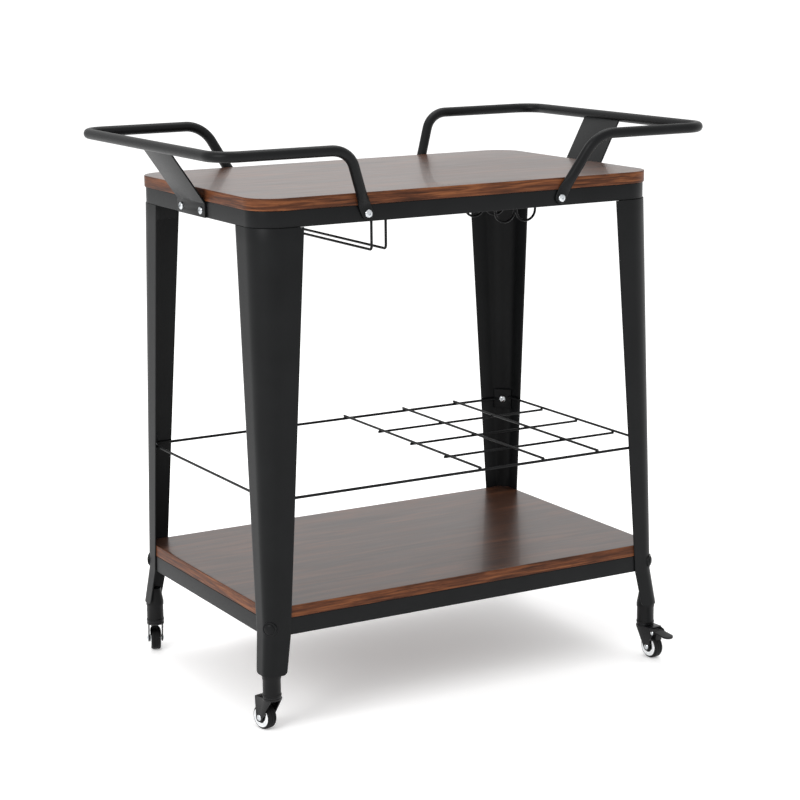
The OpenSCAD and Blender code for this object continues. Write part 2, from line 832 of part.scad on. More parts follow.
// Yoke: a round top over two cheeks that reach back to the axle and, when braked, to the lever's pivot
module fork(i) {
  color(rubber_black)
    at_caster(i)
      difference() {
        union() {
          translate([0, 0, yoke_top - yoke_t]) {
            cylinder(h = yoke_t, r = cheek_out + 2);
            translate([0, -cheek_out, 0]) cube([trail + fork_back, 2 * cheek_out, yoke_t]);
          }
          for (s = [-1, 1])
            translate([0, s > 0 ? cheek_out : -cheek_in, 0])
              rotate([90, 0, 0])
                linear_extrude(cheek_t)
                  cheek_plan(BRAKED[i]);
        }
        translate([0, 0, caster_h - 20]) cylinder(h = 30, r = king_r + pin_gap);
        translate([trail, -20, axle_z]) rotate([-90, 0, 0]) cylinder(h = 40, r = axle_r);
        if (BRAKED[i])
          translate([pivot_x, -20, pivot_z]) rotate([-90, 0, 0]) cylinder(h = 40, r = pivot_r);
      }
}

module cheek_plan(braked) {
  hull() {
    translate([trail, axle_z]) circle(6.5, $fn = hull_fn);
    translate([-fork_front, yoke_top - yoke_t]) square([trail + fork_front + fork_back, yoke_t]);
  }
  if (braked)
    hull() {
      translate([pivot_x, pivot_z]) circle(4, $fn = hull_fn);
      translate([trail - 12, yoke_top - yoke_t]) square([16, yoke_t]);
      translate([trail, axle_z + 6]) circle(2, $fn = hull_fn);
    }
}

// Axle with riveted ends, and the lever's pivot pin on a braked caster
module pins(i) {
  color(silver)
    at_caster(i) {
      riveted_pin(trail, axle_z, axle_r);
      if (BRAKED[i]) riveted_pin(pivot_x, pivot_z, pivot_r);
    }
}

module riveted_pin(x, z, r) {
  translate([x, 0, z])
    rotate([90, 0, 0]) {
      translate([0, 0, -cheek_out]) cylinder(h = 2 * cheek_out, r = r);
      translate([0, 0, cheek_out]) dome(r * 1.8, r * 0.8);
      rotate([180, 0, 0]) translate([0, 0, cheek_out]) dome(r * 1.8, r * 0.8);
    }
}

module at_axle(i) {
  at_caster(i) translate([trail, 0, axle_z]) rotate([90, 0, 0]) children();
}

module hub(i) {
  color(rubber_black)
    at_axle(i)
      difference() {
        union() {
          translate([0, 0, -tyre_w / 2]) cylinder(h = tyre_w, r = hub_r);
          translate([0, 0, -cheek_in + 0.4]) cylinder(h = 2 * cheek_in - 0.8, r = axle_r + 3);
        }
        translate([0, 0, -20]) cylinder(h = 40, r = axle_r + pin_gap);
      }
}

module tyre(i) {
  half = tyre_w / 2;
  color(rubber_black)
    at_axle(i)
      rotate_extrude()
        difference() {
          union() {
            translate([hub_r, -half]) square([axle_z - tyre_edge - hub_r, tyre_w]);
            translate([hub_r, -half + tyre_edge]) square([axle_z - hub_r, tyre_w - 2 * tyre_edge]);
            for (s = [-1, 1]) translate([axle_z - tyre_edge, s * (half - tyre_edge)]) circle(tyre_edge);
          }
          translate([-hub_r, -half]) square([2 * hub_r, tyre_w]);
        }
}

// Bright rings on both sides of a wheel
module rings(i) {
  color(silver)
    at_axle(i)
      for (s = [0, 180])
        rotate([s, 0, 0])
          translate([0, 0, tyre_w / 2])
            difference() {
              cylinder(h = ring_t, r = ring_out);
              translate([0, 0, -1]) cylinder(h = ring_t + 2, r = ring_in);
            }
}

// Brake lever: a sleeve on the pivot with a pedal behind it and a shoe above the tyre
module brake(i) {
  sleeve = 2 * (cheek_in - 0.4);
  shoe_r = axle_z + shoe_gap;
  color(rubber_black)
    at_caster(i)
      difference() {
        union() {
          translate([pivot_x, 0, pivot_z])
            rotate([90, 0, 0]) cylinder(h = sleeve, r = lever_r, center = true);
          translate([pivot_x, 0, pivot_z])
            rotate([0, 6, 0]) {
              translate([0, -pedal_w / 2, -0.2]) cube([pedal_l - pedal_w / 2, pedal_w, pedal_t]);
              translate([pedal_l - pedal_w / 2, 0, -0.2]) cylinder(h = pedal_t, d = pedal_w);
            }
          translate([pivot_x - 5, -tyre_w / 2 + 2, pivot_z - shoe_drop]) cube([8.5, tyre_w - 4, shoe_drop]);
        }
        translate([pivot_x, -20, pivot_z]) rotate([-90, 0, 0]) cylinder(h = 40, r = pivot_r + pin_gap);
        translate([trail, -20, axle_z]) rotate([-90, 0, 0]) cylinder(h = 40, r = shoe_r);
      }
}

// ---------- nodes ----------

tabletop_board();
top_frame();
shelf_board();
shelf_frame();
leg(CORNERS[0]);  // leg_front_left
leg(CORNERS[1]);  // leg_front_right
leg(CORNERS[2]);  // leg_back_left
leg(CORNERS[3]);  // leg_back_right
handle_left();
handle_right();
handle_plate_left();
handle_plate_right();
handle_bolts();
handle_nuts();
leg_bolts();
shelf_corner_bolts();
board_screws();
rack_rods();
rack_cross_wires();
rack_divider_wires();
rack_brackets();
rack_bolts();
glass_wires();
double_hook_front();
double_hook_back();
foot(0);  // foot_front_left
foot(1);  // foot_front_right
foot(2);  // foot_back_left
foot(3);  // foot_back_right
kingpin(0);  // kingpin_front_left
kingpin(1);  // kingpin_front_right
kingpin(2);  // kingpin_back_left
kingpin(3);  // kingpin_back_right
fork(0);  // fork_front_left
fork(1);  // fork_front_right
fork(2);  // fork_back_left
fork(3);  // fork_back_right
pins(0);  // pins_front_left
pins(1);  // pins_front_right
pins(2);  // pins_back_left
pins(3);  // pins_back_right
hub(0);  // hub_front_left
hub(1);  // hub_front_right
hub(2);  // hub_back_left
hub(3);  // hub_back_right
tyre(0);  // tyre_front_left
tyre(1);  // tyre_front_right
tyre(2);  // tyre_back_left
tyre(3);  // tyre_back_right
rings(0);  // rings_front_left
rings(1);  // rings_front_right
rings(2);  // rings_back_left
rings(3);  // rings_back_right
brake(1);  // brake_front_right
brake(2);  // brake_back_left
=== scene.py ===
"""Two-tier bar cart on swivel casters: its looks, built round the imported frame."""

import json
import logging
import math
from dataclasses import dataclass
from enum import Enum

import bmesh
import bpy
from mathutils import Matrix, Vector


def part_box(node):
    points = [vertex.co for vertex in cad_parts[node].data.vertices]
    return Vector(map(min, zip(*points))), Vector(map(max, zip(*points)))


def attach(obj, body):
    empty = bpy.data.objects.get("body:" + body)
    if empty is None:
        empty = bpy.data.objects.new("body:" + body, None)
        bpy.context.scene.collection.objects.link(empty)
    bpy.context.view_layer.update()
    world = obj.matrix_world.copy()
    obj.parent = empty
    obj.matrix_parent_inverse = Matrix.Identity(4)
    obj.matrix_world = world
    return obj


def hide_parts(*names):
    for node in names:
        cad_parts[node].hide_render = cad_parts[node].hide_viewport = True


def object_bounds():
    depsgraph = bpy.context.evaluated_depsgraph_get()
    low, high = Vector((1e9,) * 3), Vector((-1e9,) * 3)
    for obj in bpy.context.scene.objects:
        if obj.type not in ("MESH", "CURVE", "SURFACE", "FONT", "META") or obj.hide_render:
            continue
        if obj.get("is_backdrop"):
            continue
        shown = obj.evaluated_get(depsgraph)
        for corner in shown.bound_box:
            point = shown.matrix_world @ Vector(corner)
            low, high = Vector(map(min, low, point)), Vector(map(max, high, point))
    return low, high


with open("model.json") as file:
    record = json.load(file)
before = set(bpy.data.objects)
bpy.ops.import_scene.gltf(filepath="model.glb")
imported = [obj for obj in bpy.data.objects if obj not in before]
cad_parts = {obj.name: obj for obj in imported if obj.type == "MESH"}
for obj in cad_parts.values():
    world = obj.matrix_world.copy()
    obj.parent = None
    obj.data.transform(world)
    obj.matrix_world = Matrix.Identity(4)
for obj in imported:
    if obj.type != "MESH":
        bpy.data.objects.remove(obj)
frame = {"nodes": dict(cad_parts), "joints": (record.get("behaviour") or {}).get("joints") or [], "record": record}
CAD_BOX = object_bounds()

LOG = logging.getLogger("bar_cart")
MM = 0.001
RING_STEPS = 48
QUARTER = math.pi / 2
UP = Vector((0, 0, 1))

Socket = bpy.types.NodeSocket
Line = list[tuple[Vector, float]]
Spots = list[tuple[Vector, Vector]]


# ---------- small shared tools ----------


class Corner(Enum):
    """The four corners of the cart, as signs along X and Y."""

    FRONT_LEFT = (-1, -1)
    FRONT_RIGHT = (1, -1)
    BACK_LEFT = (-1, 1)
    BACK_RIGHT = (1, 1)

    @property
    def tag(self) -> str:
        """The corner's name as the frame's nodes and bodies end with it."""
        return self.name.lower()


def linear(hex_colour: str) -> tuple[float, float, float, float]:
    """Turns an sRGB hex colour into linear RGBA.

    Args:
        hex_colour: Six hex digits after a hash.

    Returns:
        The linear colour with alpha 1.
    """
    parts = [int(hex_colour[i : i + 2], 16) / 255 for i in (1, 3, 5)]
    return (*[c / 12.92 if c <= 0.04045 else ((c + 0.055) / 1.055) ** 2.4 for c in parts], 1.0)


def mix(start: float, end: float, share: float) -> float:
    """A value part of the way from one to another."""
    return start + (end - start) * share


def arc(steps: int, start: float = 0.0) -> list[float]:
    """Angles of one quarter turn in even steps, after a number of quarter turns."""
    return [QUARTER * (start + i / steps) for i in range(steps + 1)]


@dataclass(frozen=True)
class Graph:
    """A node tree with short ways to add to it."""

    tree: bpy.types.NodeTree

    def fill(self, node: bpy.types.Node, inputs: dict) -> None:
        """Sets a node's inputs, or links those whose value is a socket.

        Args:
            node: The node.
            inputs: Socket name or number to a value or a socket.
        """
        for key, value in inputs.items():
            if isinstance(value, Socket):
                self.tree.links.new(value, node.inputs[key])
            else:
                node.inputs[key].default_value = value

    def add(self, kind: str, out: str, inputs: dict | None = None, **settings: object) -> Socket | None:
        """Adds a node, gives it its settings, and fills its inputs.

        Args:
            kind: Blender's type name of the node.
            out: Name of the wanted output.
            inputs: Socket name or number to a value or a socket.
            **settings: Properties of the node itself.

        Returns:
            The wanted output, or nothing if the node has none.
        """
        node = self.tree.nodes.new(kind)
        for name, value in settings.items():
            setattr(node, name, value)
        self.fill(node, inputs or {})
        return next((o for o in node.outputs if o.name == out and o.enabled), None)

    def ramp(self, factor: Socket, stops: list[tuple[float, str]]) -> Socket:
        """Adds a colour ramp.

        Args:
            factor: What drives the ramp.
            stops: Pairs of a place from 0 to 1 and a hex colour.

        Returns:
            The ramp's colour.
        """
        ramp = self.tree.nodes.new("ShaderNodeValToRGB")
        self.fill(ramp, {"Fac": factor})
        elements = ramp.color_ramp.elements
        while len(elements) < len(stops):
            elements.new(0.5)
        for element, (place, colour) in zip(elements, stops):
            element.position = place
            element.color = linear(colour)
        return ramp.outputs["Color"]

    def noise(self, place: Socket, size: float, detail: float, warp: float = 0.0) -> Socket:
        """Noise with features of a size, a number of octaves and some wander."""
        inputs = {"Vector": place, "Scale": 1 / size, "Detail": detail, "Distortion": warp}
        return self.add("ShaderNodeTexNoise", "Fac", inputs)

    def remap(
        self, value: Socket, source: tuple = (0.0, 1.0), target: tuple = (0.0, 1.0), **how: str
    ) -> Socket:
        """Maps one range of values onto another."""
        ends = {"From Min": source[0], "From Max": source[1], "To Min": target[0], "To Max": target[1]}
        return self.add("ShaderNodeMapRange", "Result", {"Value": value, **ends}, **how)

    def number(
        self, operation: str, a: Socket | float, b: Socket | float = 0.0, clamp: bool = False
    ) -> Socket:
        """One arithmetic step on two values."""
        return self.add("ShaderNodeMath", "Value", {0: a, 1: b}, operation=operation, use_clamp=clamp)

    def vector(self, operation: str, a: Socket, b: object = None, out: str = "Vector") -> Socket:
        """One step of vector arithmetic. The second value is a factor where the step scales."""
        second = {} if b is None else {"Scale" if operation == "SCALE" else 1: b}
        return self.add("ShaderNodeVectorMath", out, {0: a, **second}, operation=operation)


def new_piece(name: str, mesh: bpy.types.Mesh) -> bpy.types.Object:
    """Links a mesh into the scene as an object at the origin.

    Args:
        name: The piece's name.
        mesh: Its mesh, already in place.

    Returns:
        The object.
    """
    piece = bpy.data.objects.new(name, mesh)
    bpy.context.scene.collection.objects.link(piece)
    return piece


def shade(mesh: bpy.types.Mesh, sharp_deg: float) -> None:
    """Shades a mesh smooth up to an angle."""
    mesh.shade_smooth()
    mesh.set_sharp_from_angle(angle=math.radians(sharp_deg))


def mesh_from(bm: bmesh.types.BMesh, name: str, sharp_deg: float = 35.0) -> bpy.types.Mesh:
    """Merges doubles, turns the faces outwards and shades the mesh.

    Args:
        bm: The mesh under construction. It is freed.
        name: Name of the new mesh.
        sharp_deg: Edges sharper than this stay crisp.

    Returns:
        The finished mesh.
    """
    bmesh.ops.remove_doubles(bm, verts=bm.verts, dist=1e-6)
    bmesh.ops.recalc_face_normals(bm, faces=bm.faces)
    mesh = bpy.data.meshes.new(name)
    bm.to_mesh(mesh)
    bm.free()
    shade(mesh, sharp_deg)
    return mesh


def loft(bm: bmesh.types.BMesh, rings: list[list[Vector]], looped: bool = False) -> list:
    """Joins closed rings of points into a skin, and closes its two ends.

    Args:
        bm: Where the faces go.
        rings: Rings with the same number of points.
        looped: Whether the last ring joins the first instead.

    Returns:
        The new faces, one list for each gap between two rings, then the ends.
    """
    made = [[bm.verts.new(p) for p in ring] for ring in rings]
    count = len(made[0])
    bands = []
    for a, b in zip(made, made[1:] + ([made[0]] if looped else [])):
        pairs = [(i, (i + 1) % count) for i in range(count)]
        bands.append([bm.faces.new((a[i], a[j], b[j], b[i])) for i, j in pairs])
    if not looped:
        bands.append([bm.faces.new(made[0][::-1]), bm.faces.new(made[-1])])
    return bands


def lathe(
    profile: list[tuple[float, float]], place: Matrix, name: str, sharp_deg: float = 35.0
) -> bpy.types.Mesh:
    """Turns a profile about the local Z axis.

    Args:
        profile: Closed outline as (radius, height). A point with radius 0 makes a pole.
        place: Where the turned piece goes.
        name: Name of the new mesh.
        sharp_deg: Edges sharper than this stay crisp.

    Returns:
        The finished mesh.
    """
    bm = bmesh.new()
    turns = [math.tau * i / RING_STEPS for i in range(RING_STEPS)]
    rings = [[place @ Vector((r * math.cos(a), r * math.sin(a), z)) for r, z in profile] for a in turns]
    loft(bm, rings, True)
    bmesh.ops.remove_doubles(bm, verts=bm.verts, dist=1e-7)
    bmesh.ops.dissolve_degenerate(bm, edges=bm.edges, dist=1e-7)
    return mesh_from(bm, name, sharp_deg)


def eased_box(bm: bmesh.types.BMesh, centre: tuple, size: tuple, ease: float = 0.5 * MM) -> None:
    """Adds a box with eased edges.

    Args:
        bm: Where it goes.
        centre: Its middle.
        size: Its size.
        ease: Width of the easing.
    """
    place = Matrix.Translation(centre) @ Matrix.Diagonal((*size, 1))
    made = bmesh.ops.create_cube(bm, size=1.0, matrix=place)
    edges = dict.fromkeys(e for v in made["verts"] for e in v.link_edges)
    bmesh.ops.bevel(bm, geom=list(edges), offset=ease, segments=2, affect="EDGES")


def rounded_outline(hx: float, hy: float, r: float, steps: int = 16) -> list[tuple[Vector, Vector, float]]:
    """Outline of a rounded rectangle, counter-clockwise.

    Args:
        hx: Half size along X.
        hy: Half size along Y.
        r: Corner radius.
        steps: Segments in each corner.

    Returns:
        For each point its place, its outward direction and its distance along the outline.
    """
    points, run = [], 0.0
    for quarter, (sx, sy) in enumerate([(1, 1), (-1, 1), (-1, -1), (1, -1)]):
        for a in arc(steps, quarter):
            out = Vector((math.cos(a), math.sin(a), 0))
            place = Vector((sx * (hx - r), sy * (hy - r), 0)) + out * r
            if points:
                run += (place - points[-1][0]).length
            points.append((place, out, run))
    return points


def solids(node: str) -> list[list[Vector]]:
    """Splits a frame node into its separate solids.

    Args:
        node: Name of the node.

    Returns:
        The points of each solid, ordered by place.
    """
    bm = bmesh.new()
    bm.from_mesh(frame["nodes"][node].data)
    bmesh.ops.remove_doubles(bm, verts=bm.verts, dist=1e-5)
    bm.verts.ensure_lookup_table()
    seen, groups = set(), []
    for start in bm.verts:
        if start.index in seen:
            continue
        seen.add(start.index)
        stack, group = [start], []
        while stack:
            vert = stack.pop()
            group.append(vert.co.copy())
            for edge in vert.link_edges:
                other = edge.other_vert(vert)
                if other.index not in seen:
                    seen.add(other.index)
                    stack.append(other)
        groups.append(group)
    bm.free()
    return sorted(groups, key=lambda g: tuple(round(sum(p[k] for p in g) / len(g), 4) for k in range(3)))


def middle_and_size(points: list[Vector]) -> tuple[Vector, Vector]:
    """Middle and size of the box round some points."""
    low, high = (Vector([pick(p[k] for p in points) for k in range(3)]) for pick in (min, max))
    return (low + high) / 2, high - low


def aimed(direction: Vector, at: Vector) -> Matrix:
    """Placement at a point whose Z axis looks along a direction."""
    return Matrix.Translation(at) @ direction.to_track_quat("Z", "Y").to_matrix().to_4x4()


# ---------- finishes ----------


@dataclass(frozen=True)
class Finish:
    """A surface finish that makes its material once."""

    name: str

    def material(self) -> bpy.types.Material:
        """Returns the finish's material, made on the first call."""
        made = bpy.data.materials.get(self.name)
        if not made:
            made = bpy.data.materials.new(self.name)
            made.use_nodes = True
            graph = Graph(made.node_tree)
            graph.fill(made.node_tree.nodes["Principled BSDF"], self.looks(graph))
        return made

    def looks(self, graph: Graph) -> dict:
        """Works out the shader's inputs. Each kind of finish has its own.

        Args:
            graph: The material's tree.

        Returns:
            Input name to a value or a socket.
        """
        raise NotImplementedError


@dataclass(frozen=True)
class PaintedFinish(Finish):
    """Powder coat, enamel and moulded plastic: one colour with a fine skin and soft mottling."""

    low_hex: str
    high_hex: str
    roughness: tuple[float, float]
    skin_mm: float
    skin_depth_mm: float
    skin_strength: float = 0.35
    cloud_mm: float = 60.0
    ior: float = 1.5
    specular: float = 0.5
    coat: float = 0.0

    def looks(self, graph: Graph) -> dict:
        """Mottles the colour and roughness, and raises the skin.

        Args:
            graph: The material's tree.

        Returns:
            Input name to a value or a socket.
        """
        place = graph.add("ShaderNodeTexCoord", "Object")
        cloud = graph.noise(place, self.cloud_mm * MM, 3.0)
        skin = graph.noise(place, self.skin_mm * MM, 4.0)
        relief = {"Height": skin, "Strength": self.skin_strength, "Distance": self.skin_depth_mm * MM}
        return {
            "Base Color": graph.ramp(cloud, [(0.3, self.low_hex), (0.7, self.high_hex)]),
            "Roughness": graph.remap(skin, target=self.roughness),
            "Normal": graph.add("ShaderNodeBump", "Normal", relief),
            "IOR": self.ior,
            "Specular IOR Level": self.specular,
            "Coat Weight": self.coat,
        }


@dataclass(frozen=True)
class PlatedFinish(Finish):
    """Plated metal with fine turning or drawing marks."""

    low_hex: str
    high_hex: str
    roughness: tuple[float, float]
    mark_mm: float

    def looks(self, graph: Graph) -> dict:
        """Streaks the plate's colour and gloss.

        Args:
            graph: The material's tree.

        Returns:
            Input name to a value or a socket.
        """
        marks = graph.noise(graph.add("ShaderNodeTexCoord", "Object"), self.mark_mm * MM, 5.0)
        return {
            "Base Color": graph.ramp(marks, [(0.35, self.low_hex), (0.65, self.high_hex)]),
            "Roughness": graph.remap(marks, target=self.roughness),
            "Metallic": 1.0,
        }


@dataclass(frozen=True)
class LaminateFinish(Finish):
    """Printed walnut on a board: long figure, fine streaks and short pores, along the piece's own map."""

    dark_hex: str
    mid_hex: str
    light_hex: str
    roughness: tuple[float, float]
    figure_mm: tuple[float, float]
    streak_mm: tuple[float, float]
    pore_mm: tuple[float, float] = (14.0, 1.6)
    streak_share: float = 0.45
    pore_shade: float = 0.62
    streak_depth_mm: float = 0.2
    specular: float = 0.5
    coat: float = 0.0

    def grain(self, graph: Graph, size_mm: tuple[float, float], detail: float, warp: float) -> Socket:
        """Noise stretched along the grain.

        Args:
            graph: The material's tree.
            size_mm: Length and width of one feature.
            detail: Octaves of the noise.
            warp: How much the lines wander.

        Returns:
            The noise's factor.
        """
        scale = (1 / (size_mm[0] * MM), 1 / (size_mm[1] * MM), 1.0)
        place = {"Vector": graph.add("ShaderNodeUVMap", "UV", uv_map="grain"), "Scale": scale}
        return graph.noise(graph.add("ShaderNodeMapping", "Vector", place), 1.0, detail, warp)

    def looks(self, graph: Graph) -> dict:
        """Lays figure, streaks and pores over each other.

        Args:
            graph: The material's tree.

        Returns:
            Input name to a value or a socket.
        """
        figure = self.grain(graph, self.figure_mm, 3.0, 1.4)
        streak = self.grain(graph, self.streak_mm, 5.0, 0.3)
        pore = self.grain(graph, self.pore_mm, 2.0, 0.0)
        lines = {"Factor": self.streak_share, "A": figure, "B": streak}
        wood = graph.add("ShaderNodeMix", "Result", lines, data_type="FLOAT")
        base = graph.ramp(wood, [(0.36, self.dark_hex), (0.5, self.mid_hex), (0.64, self.light_hex)])
        shaded = {"Factor": 1.0, "A": base, "B": graph.remap(pore, (0.3, 0.42), (self.pore_shade, 1.0))}
        multiply = {"data_type": "RGBA", "blend_type": "MULTIPLY"}
        relief = {"Height": streak, "Strength": 0.12, "Distance": self.streak_depth_mm * MM}
        return {
            "Base Color": graph.add("ShaderNodeMix", "Result", shaded, **multiply),
            "Roughness": graph.remap(streak, target=self.roughness),
            "Normal": graph.add("ShaderNodeBump", "Normal", relief),
            "Specular IOR Level": self.specular,
            "Coat Weight": self.coat,
        }


# Satin powder coat on steel: nearly black, with a faint orange peel that breaks up the highlight.
# Real peel is about 1 mm across, and is drawn at 3 mm so that it shows.
POWDER_COAT = PaintedFinish("satin powder coat", "#0b0c0d", "#101112", (0.34, 0.46), 3.0, 0.05, specular=0.14)
# Gloss enamel on stamped caster forks: deeper black and a tighter highlight.
FORK_ENAMEL = PaintedFinish(
    "gloss black enamel", "#08080a", "#0e0e10", (0.2, 0.3), 2.0, 0.02, specular=0.2, coat=0.1
)
# Moulded polyamide foot inserts and hubs: dull skin left by the mould.
MOULDED_PLASTIC = PaintedFinish(
    "moulded polyamide", "#0b0b0c", "#101011", (0.32, 0.44), 1.5, 0.03, specular=0.16
)
# Polyurethane tread: matt black with a scuffed skin.
TREAD = PaintedFinish("polyurethane tread", "#0c0c0d", "#141415", (0.5, 0.66), 2.0, 0.08, specular=0.16)
# Bright zinc on bolts, nuts and pins: pale, slightly cloudy metal.
ZINC = PlatedFinish("bright zinc plate", "#b4b8bc", "#d6d9db", (0.2, 0.34), 2.5)
# Chromed trim ring: near-mirror, with faint haze.
CHROME = PlatedFinish("chrome plate", "#dfe2e4", "#f2f3f4", (0.08, 0.16), 4.0)
# Walnut print under a satin melamine skin: brown face with a soft sheen.
FACE_LAMINATE = LaminateFinish(
    "walnut laminate face", "#2a1811", "#40281c", "#5e3c2a", (0.22, 0.42), (260, 26), (90, 3.2),
    specular=0.45, coat=0.1,
)
# Edge band: redder, with a coarser streak and less gloss than the face.
EDGE_BAND = LaminateFinish(
    "walnut edge band", "#311b10", "#55301d", "#7a4a2c", (0.38, 0.5), (120, 9), (60, 2.4), specular=0.12
)


# ---------- node trees for bent bar and for repeated hardware ----------


def start_tree(name: str, sockets: list[tuple]) -> tuple[Graph, bpy.types.bpy_prop_collection]:
    """Starts a geometry tree that takes a shape, some values and a material.

    Args:
        name: The tree's name.
        sockets: Name, type and default of each value. A default of None is left out.

    Returns:
        The tree and what it is given.
    """
    tree = bpy.data.node_groups.new(name, "GeometryNodeTree")
    sockets = [("Geometry", "Geometry", None), *sockets, ("Material", "Material", None)]
    for label, kind, default in sockets:
        made = tree.interface.new_socket(label, in_out="INPUT", socket_type="NodeSocket" + kind)
        if default is not None:
            made.default_value = default
    tree.interface.new_socket("Geometry", in_out="OUTPUT", socket_type="NodeSocketGeometry")
    return Graph(tree), tree.nodes.new("NodeGroupInput").outputs


def end_tree(graph: Graph, shape: Socket, material: Socket) -> bpy.types.NodeTree:
    """Makes a tree's shape real, dresses it and sends it out.

    Args:
        graph: The tree.
        shape: The shape.
        material: Its material.

    Returns:
        The node tree.
    """
    whole = graph.add("GeometryNodeRealizeInstances", "Geometry", {"Geometry": shape})
    dressed = graph.add("GeometryNodeSetMaterial", "Geometry", {"Geometry": whole, "Material": material})
    graph.add("NodeGroupOutput", "", {"Geometry": dressed})
    return graph.tree


def bent_bar_tree() -> bpy.types.NodeTree:
    """Builds the tree that turns a line of points into bent round bar.

    The line's points carry a bend radius in an attribute called bend. Near its ends the bar can be
    squashed flat along the flat axis, as a handle tube is for its bolts, and rounded off.

    Returns:
        The node tree.
    """
    sizes = {"Diameter": 0.016, "Step": 0.003, "Flat Amount": 0.0, "Flat Thickness": 0.005}
    sizes.update({"Flat Width": 0.02, "Flat Length": 0.022, "Neck Length": 0.05})
    sockets = [(label, "Float", size) for label, size in sizes.items()] + [("Sides", "Int", 24)]
    graph, given = start_tree("bent bar", sockets)
    add, number, vector = graph.add, graph.number, graph.vector

    line = add("GeometryNodeMeshToCurve", "Curve", {"Mesh": given["Geometry"]})
    bend = add("GeometryNodeInputNamedAttribute", "Attribute", {"Name": "bend"}, data_type="FLOAT")
    fillet = {"Curve": line, "Radius": bend, "Count": 14, "Limit Radius": True}
    rounded = add("GeometryNodeFilletCurve", "Curve", fillet, mode="POLY")
    spacing = {"Curve": rounded, "Length": given["Step"]}
    curve = add("GeometryNodeResampleCurve", "Curve", spacing, mode="LENGTH")
    here = add("GeometryNodeInputPosition", "Position")
    along = add("GeometryNodeInputTangent", "Tangent")
    reach = add("GeometryNodeSplineParameter", "Length")
    to_end = number("MINIMUM", reach, number("SUBTRACT", add("GeometryNodeSplineLength", "Length"), reach))
    kept = []
    for kind, value in (("FLOAT_VECTOR", here), ("FLOAT_VECTOR", along), ("FLOAT", to_end)):
        name = f"bar_{len(kept)}"
        stored = {"Geometry": curve, "Name": name, "Value": value}
        curve = add("GeometryNodeStoreNamedAttribute", "Geometry", stored, data_type=kind)
        kept.append(add("GeometryNodeInputNamedAttribute", "Attribute", {"Name": name}, data_type=kind))
    centre, tangent, near = kept
    ring = {"Resolution": given["Sides"], "Radius": number("MULTIPLY", given["Diameter"], 0.5)}
    circle = add("GeometryNodeCurvePrimitiveCircle", "Curve", ring)
    sweep = {"Curve": curve, "Profile Curve": circle, "Fill Caps": True}
    skin = add("GeometryNodeCurveToMesh", "Mesh", sweep)

    amount, width = given["Flat Amount"], given["Flat Width"]
    ends = (given["Flat Length"], given["Neck Length"])
    flat = graph.remap(near, ends, (1.0, 0.0), interpolation_type="SMOOTHSTEP")
    share = number("MULTIPLY", flat, amount)
    nose = number("SUBTRACT", 1.0, number("DIVIDE", near, number("MULTIPLY", width, 0.5)), clamp=True)
    round_off = number("SQRT", number("SUBTRACT", 1.0001, number("MULTIPLY", nose, nose)))
    round_off = number("ADD", number("MULTIPLY", round_off, amount), number("SUBTRACT", 1.0, amount))
    thin, wide = (
        number("MULTIPLY", share, number("SUBTRACT", number("DIVIDE", size, given["Diameter"]), 1.0))
        for size in (given["Flat Thickness"], width)
    )
    wide = number("SUBTRACT", number("MULTIPLY", number("ADD", wide, 1.0), round_off), 1.0)
    out = vector("SUBTRACT", here, centre)
    across = vector("NORMALIZE", vector("CROSS_PRODUCT", tangent, (0.0, 1.0, 0.0)))
    press = vector("NORMALIZE", vector("CROSS_PRODUCT", across, tangent))
    moves = [
        vector("SCALE", way, number("MULTIPLY", much, vector("DOT_PRODUCT", out, way, "Value")))
        for way, much in ((press, thin), (across, wide))
    ]
    shaped = add("GeometryNodeSetPosition", "Geometry", {"Geometry": skin, "Offset": vector("ADD", *moves)})
    return end_tree(graph, shaped, given["Material"])


def hardware_tree() -> bpy.types.NodeTree:
    """Builds the tree that puts one head on every point, along the point's axis, with its own turn.

    Returns:
        The node tree.
    """
    graph, given = start_tree("hardware on points", [("Head", "Object", None), ("Seed", "Int", 7)])
    add = graph.add
    axis = add("GeometryNodeInputNamedAttribute", "Attribute", {"Name": "axis"}, data_type="FLOAT_VECTOR")
    aim = add("FunctionNodeAlignRotationToVector", "Rotation", {"Vector": axis}, axis="Z")
    draw = {"Seed": given["Seed"], "Max": math.tau}
    angle = add("FunctionNodeRandomValue", "Value", draw, data_type="FLOAT")
    turn = add("ShaderNodeCombineXYZ", "Vector", {"Z": angle})
    spin = {"Rotation": aim, "Rotate By": add("FunctionNodeEulerToRotation", "Rotation", {"Euler": turn})}
    both = add("FunctionNodeRotateRotation", "Rotation", spin, rotation_space="LOCAL")
    head = add("GeometryNodeObjectInfo", "Geometry", {"Object": given["Head"]})
    spots = {"Points": given["Geometry"], "Instance": head, "Rotation": both}
    return end_tree(graph, add("GeometryNodeInstanceOnPoints", "Instances", spots), given["Material"])


def seed_mesh(
    points: list[Vector], edges: list, label: str, kind: str, values: list[float]
) -> bpy.types.Mesh:
    """Mesh of points and edges that carry an attribute.

    Args:
        points: The points.
        edges: Pairs of point numbers.
        label: The attribute's name.
        kind: Its type.
        values: Its values in one row.

    Returns:
        The mesh.
    """
    mesh = bpy.data.meshes.new("seed")
    mesh.from_pydata([tuple(p) for p in points], edges, [])
    carried = mesh.attributes.new(label, kind, "POINT")
    carried.data.foreach_set("vector" if kind == "FLOAT_VECTOR" else "value", values)
    return mesh


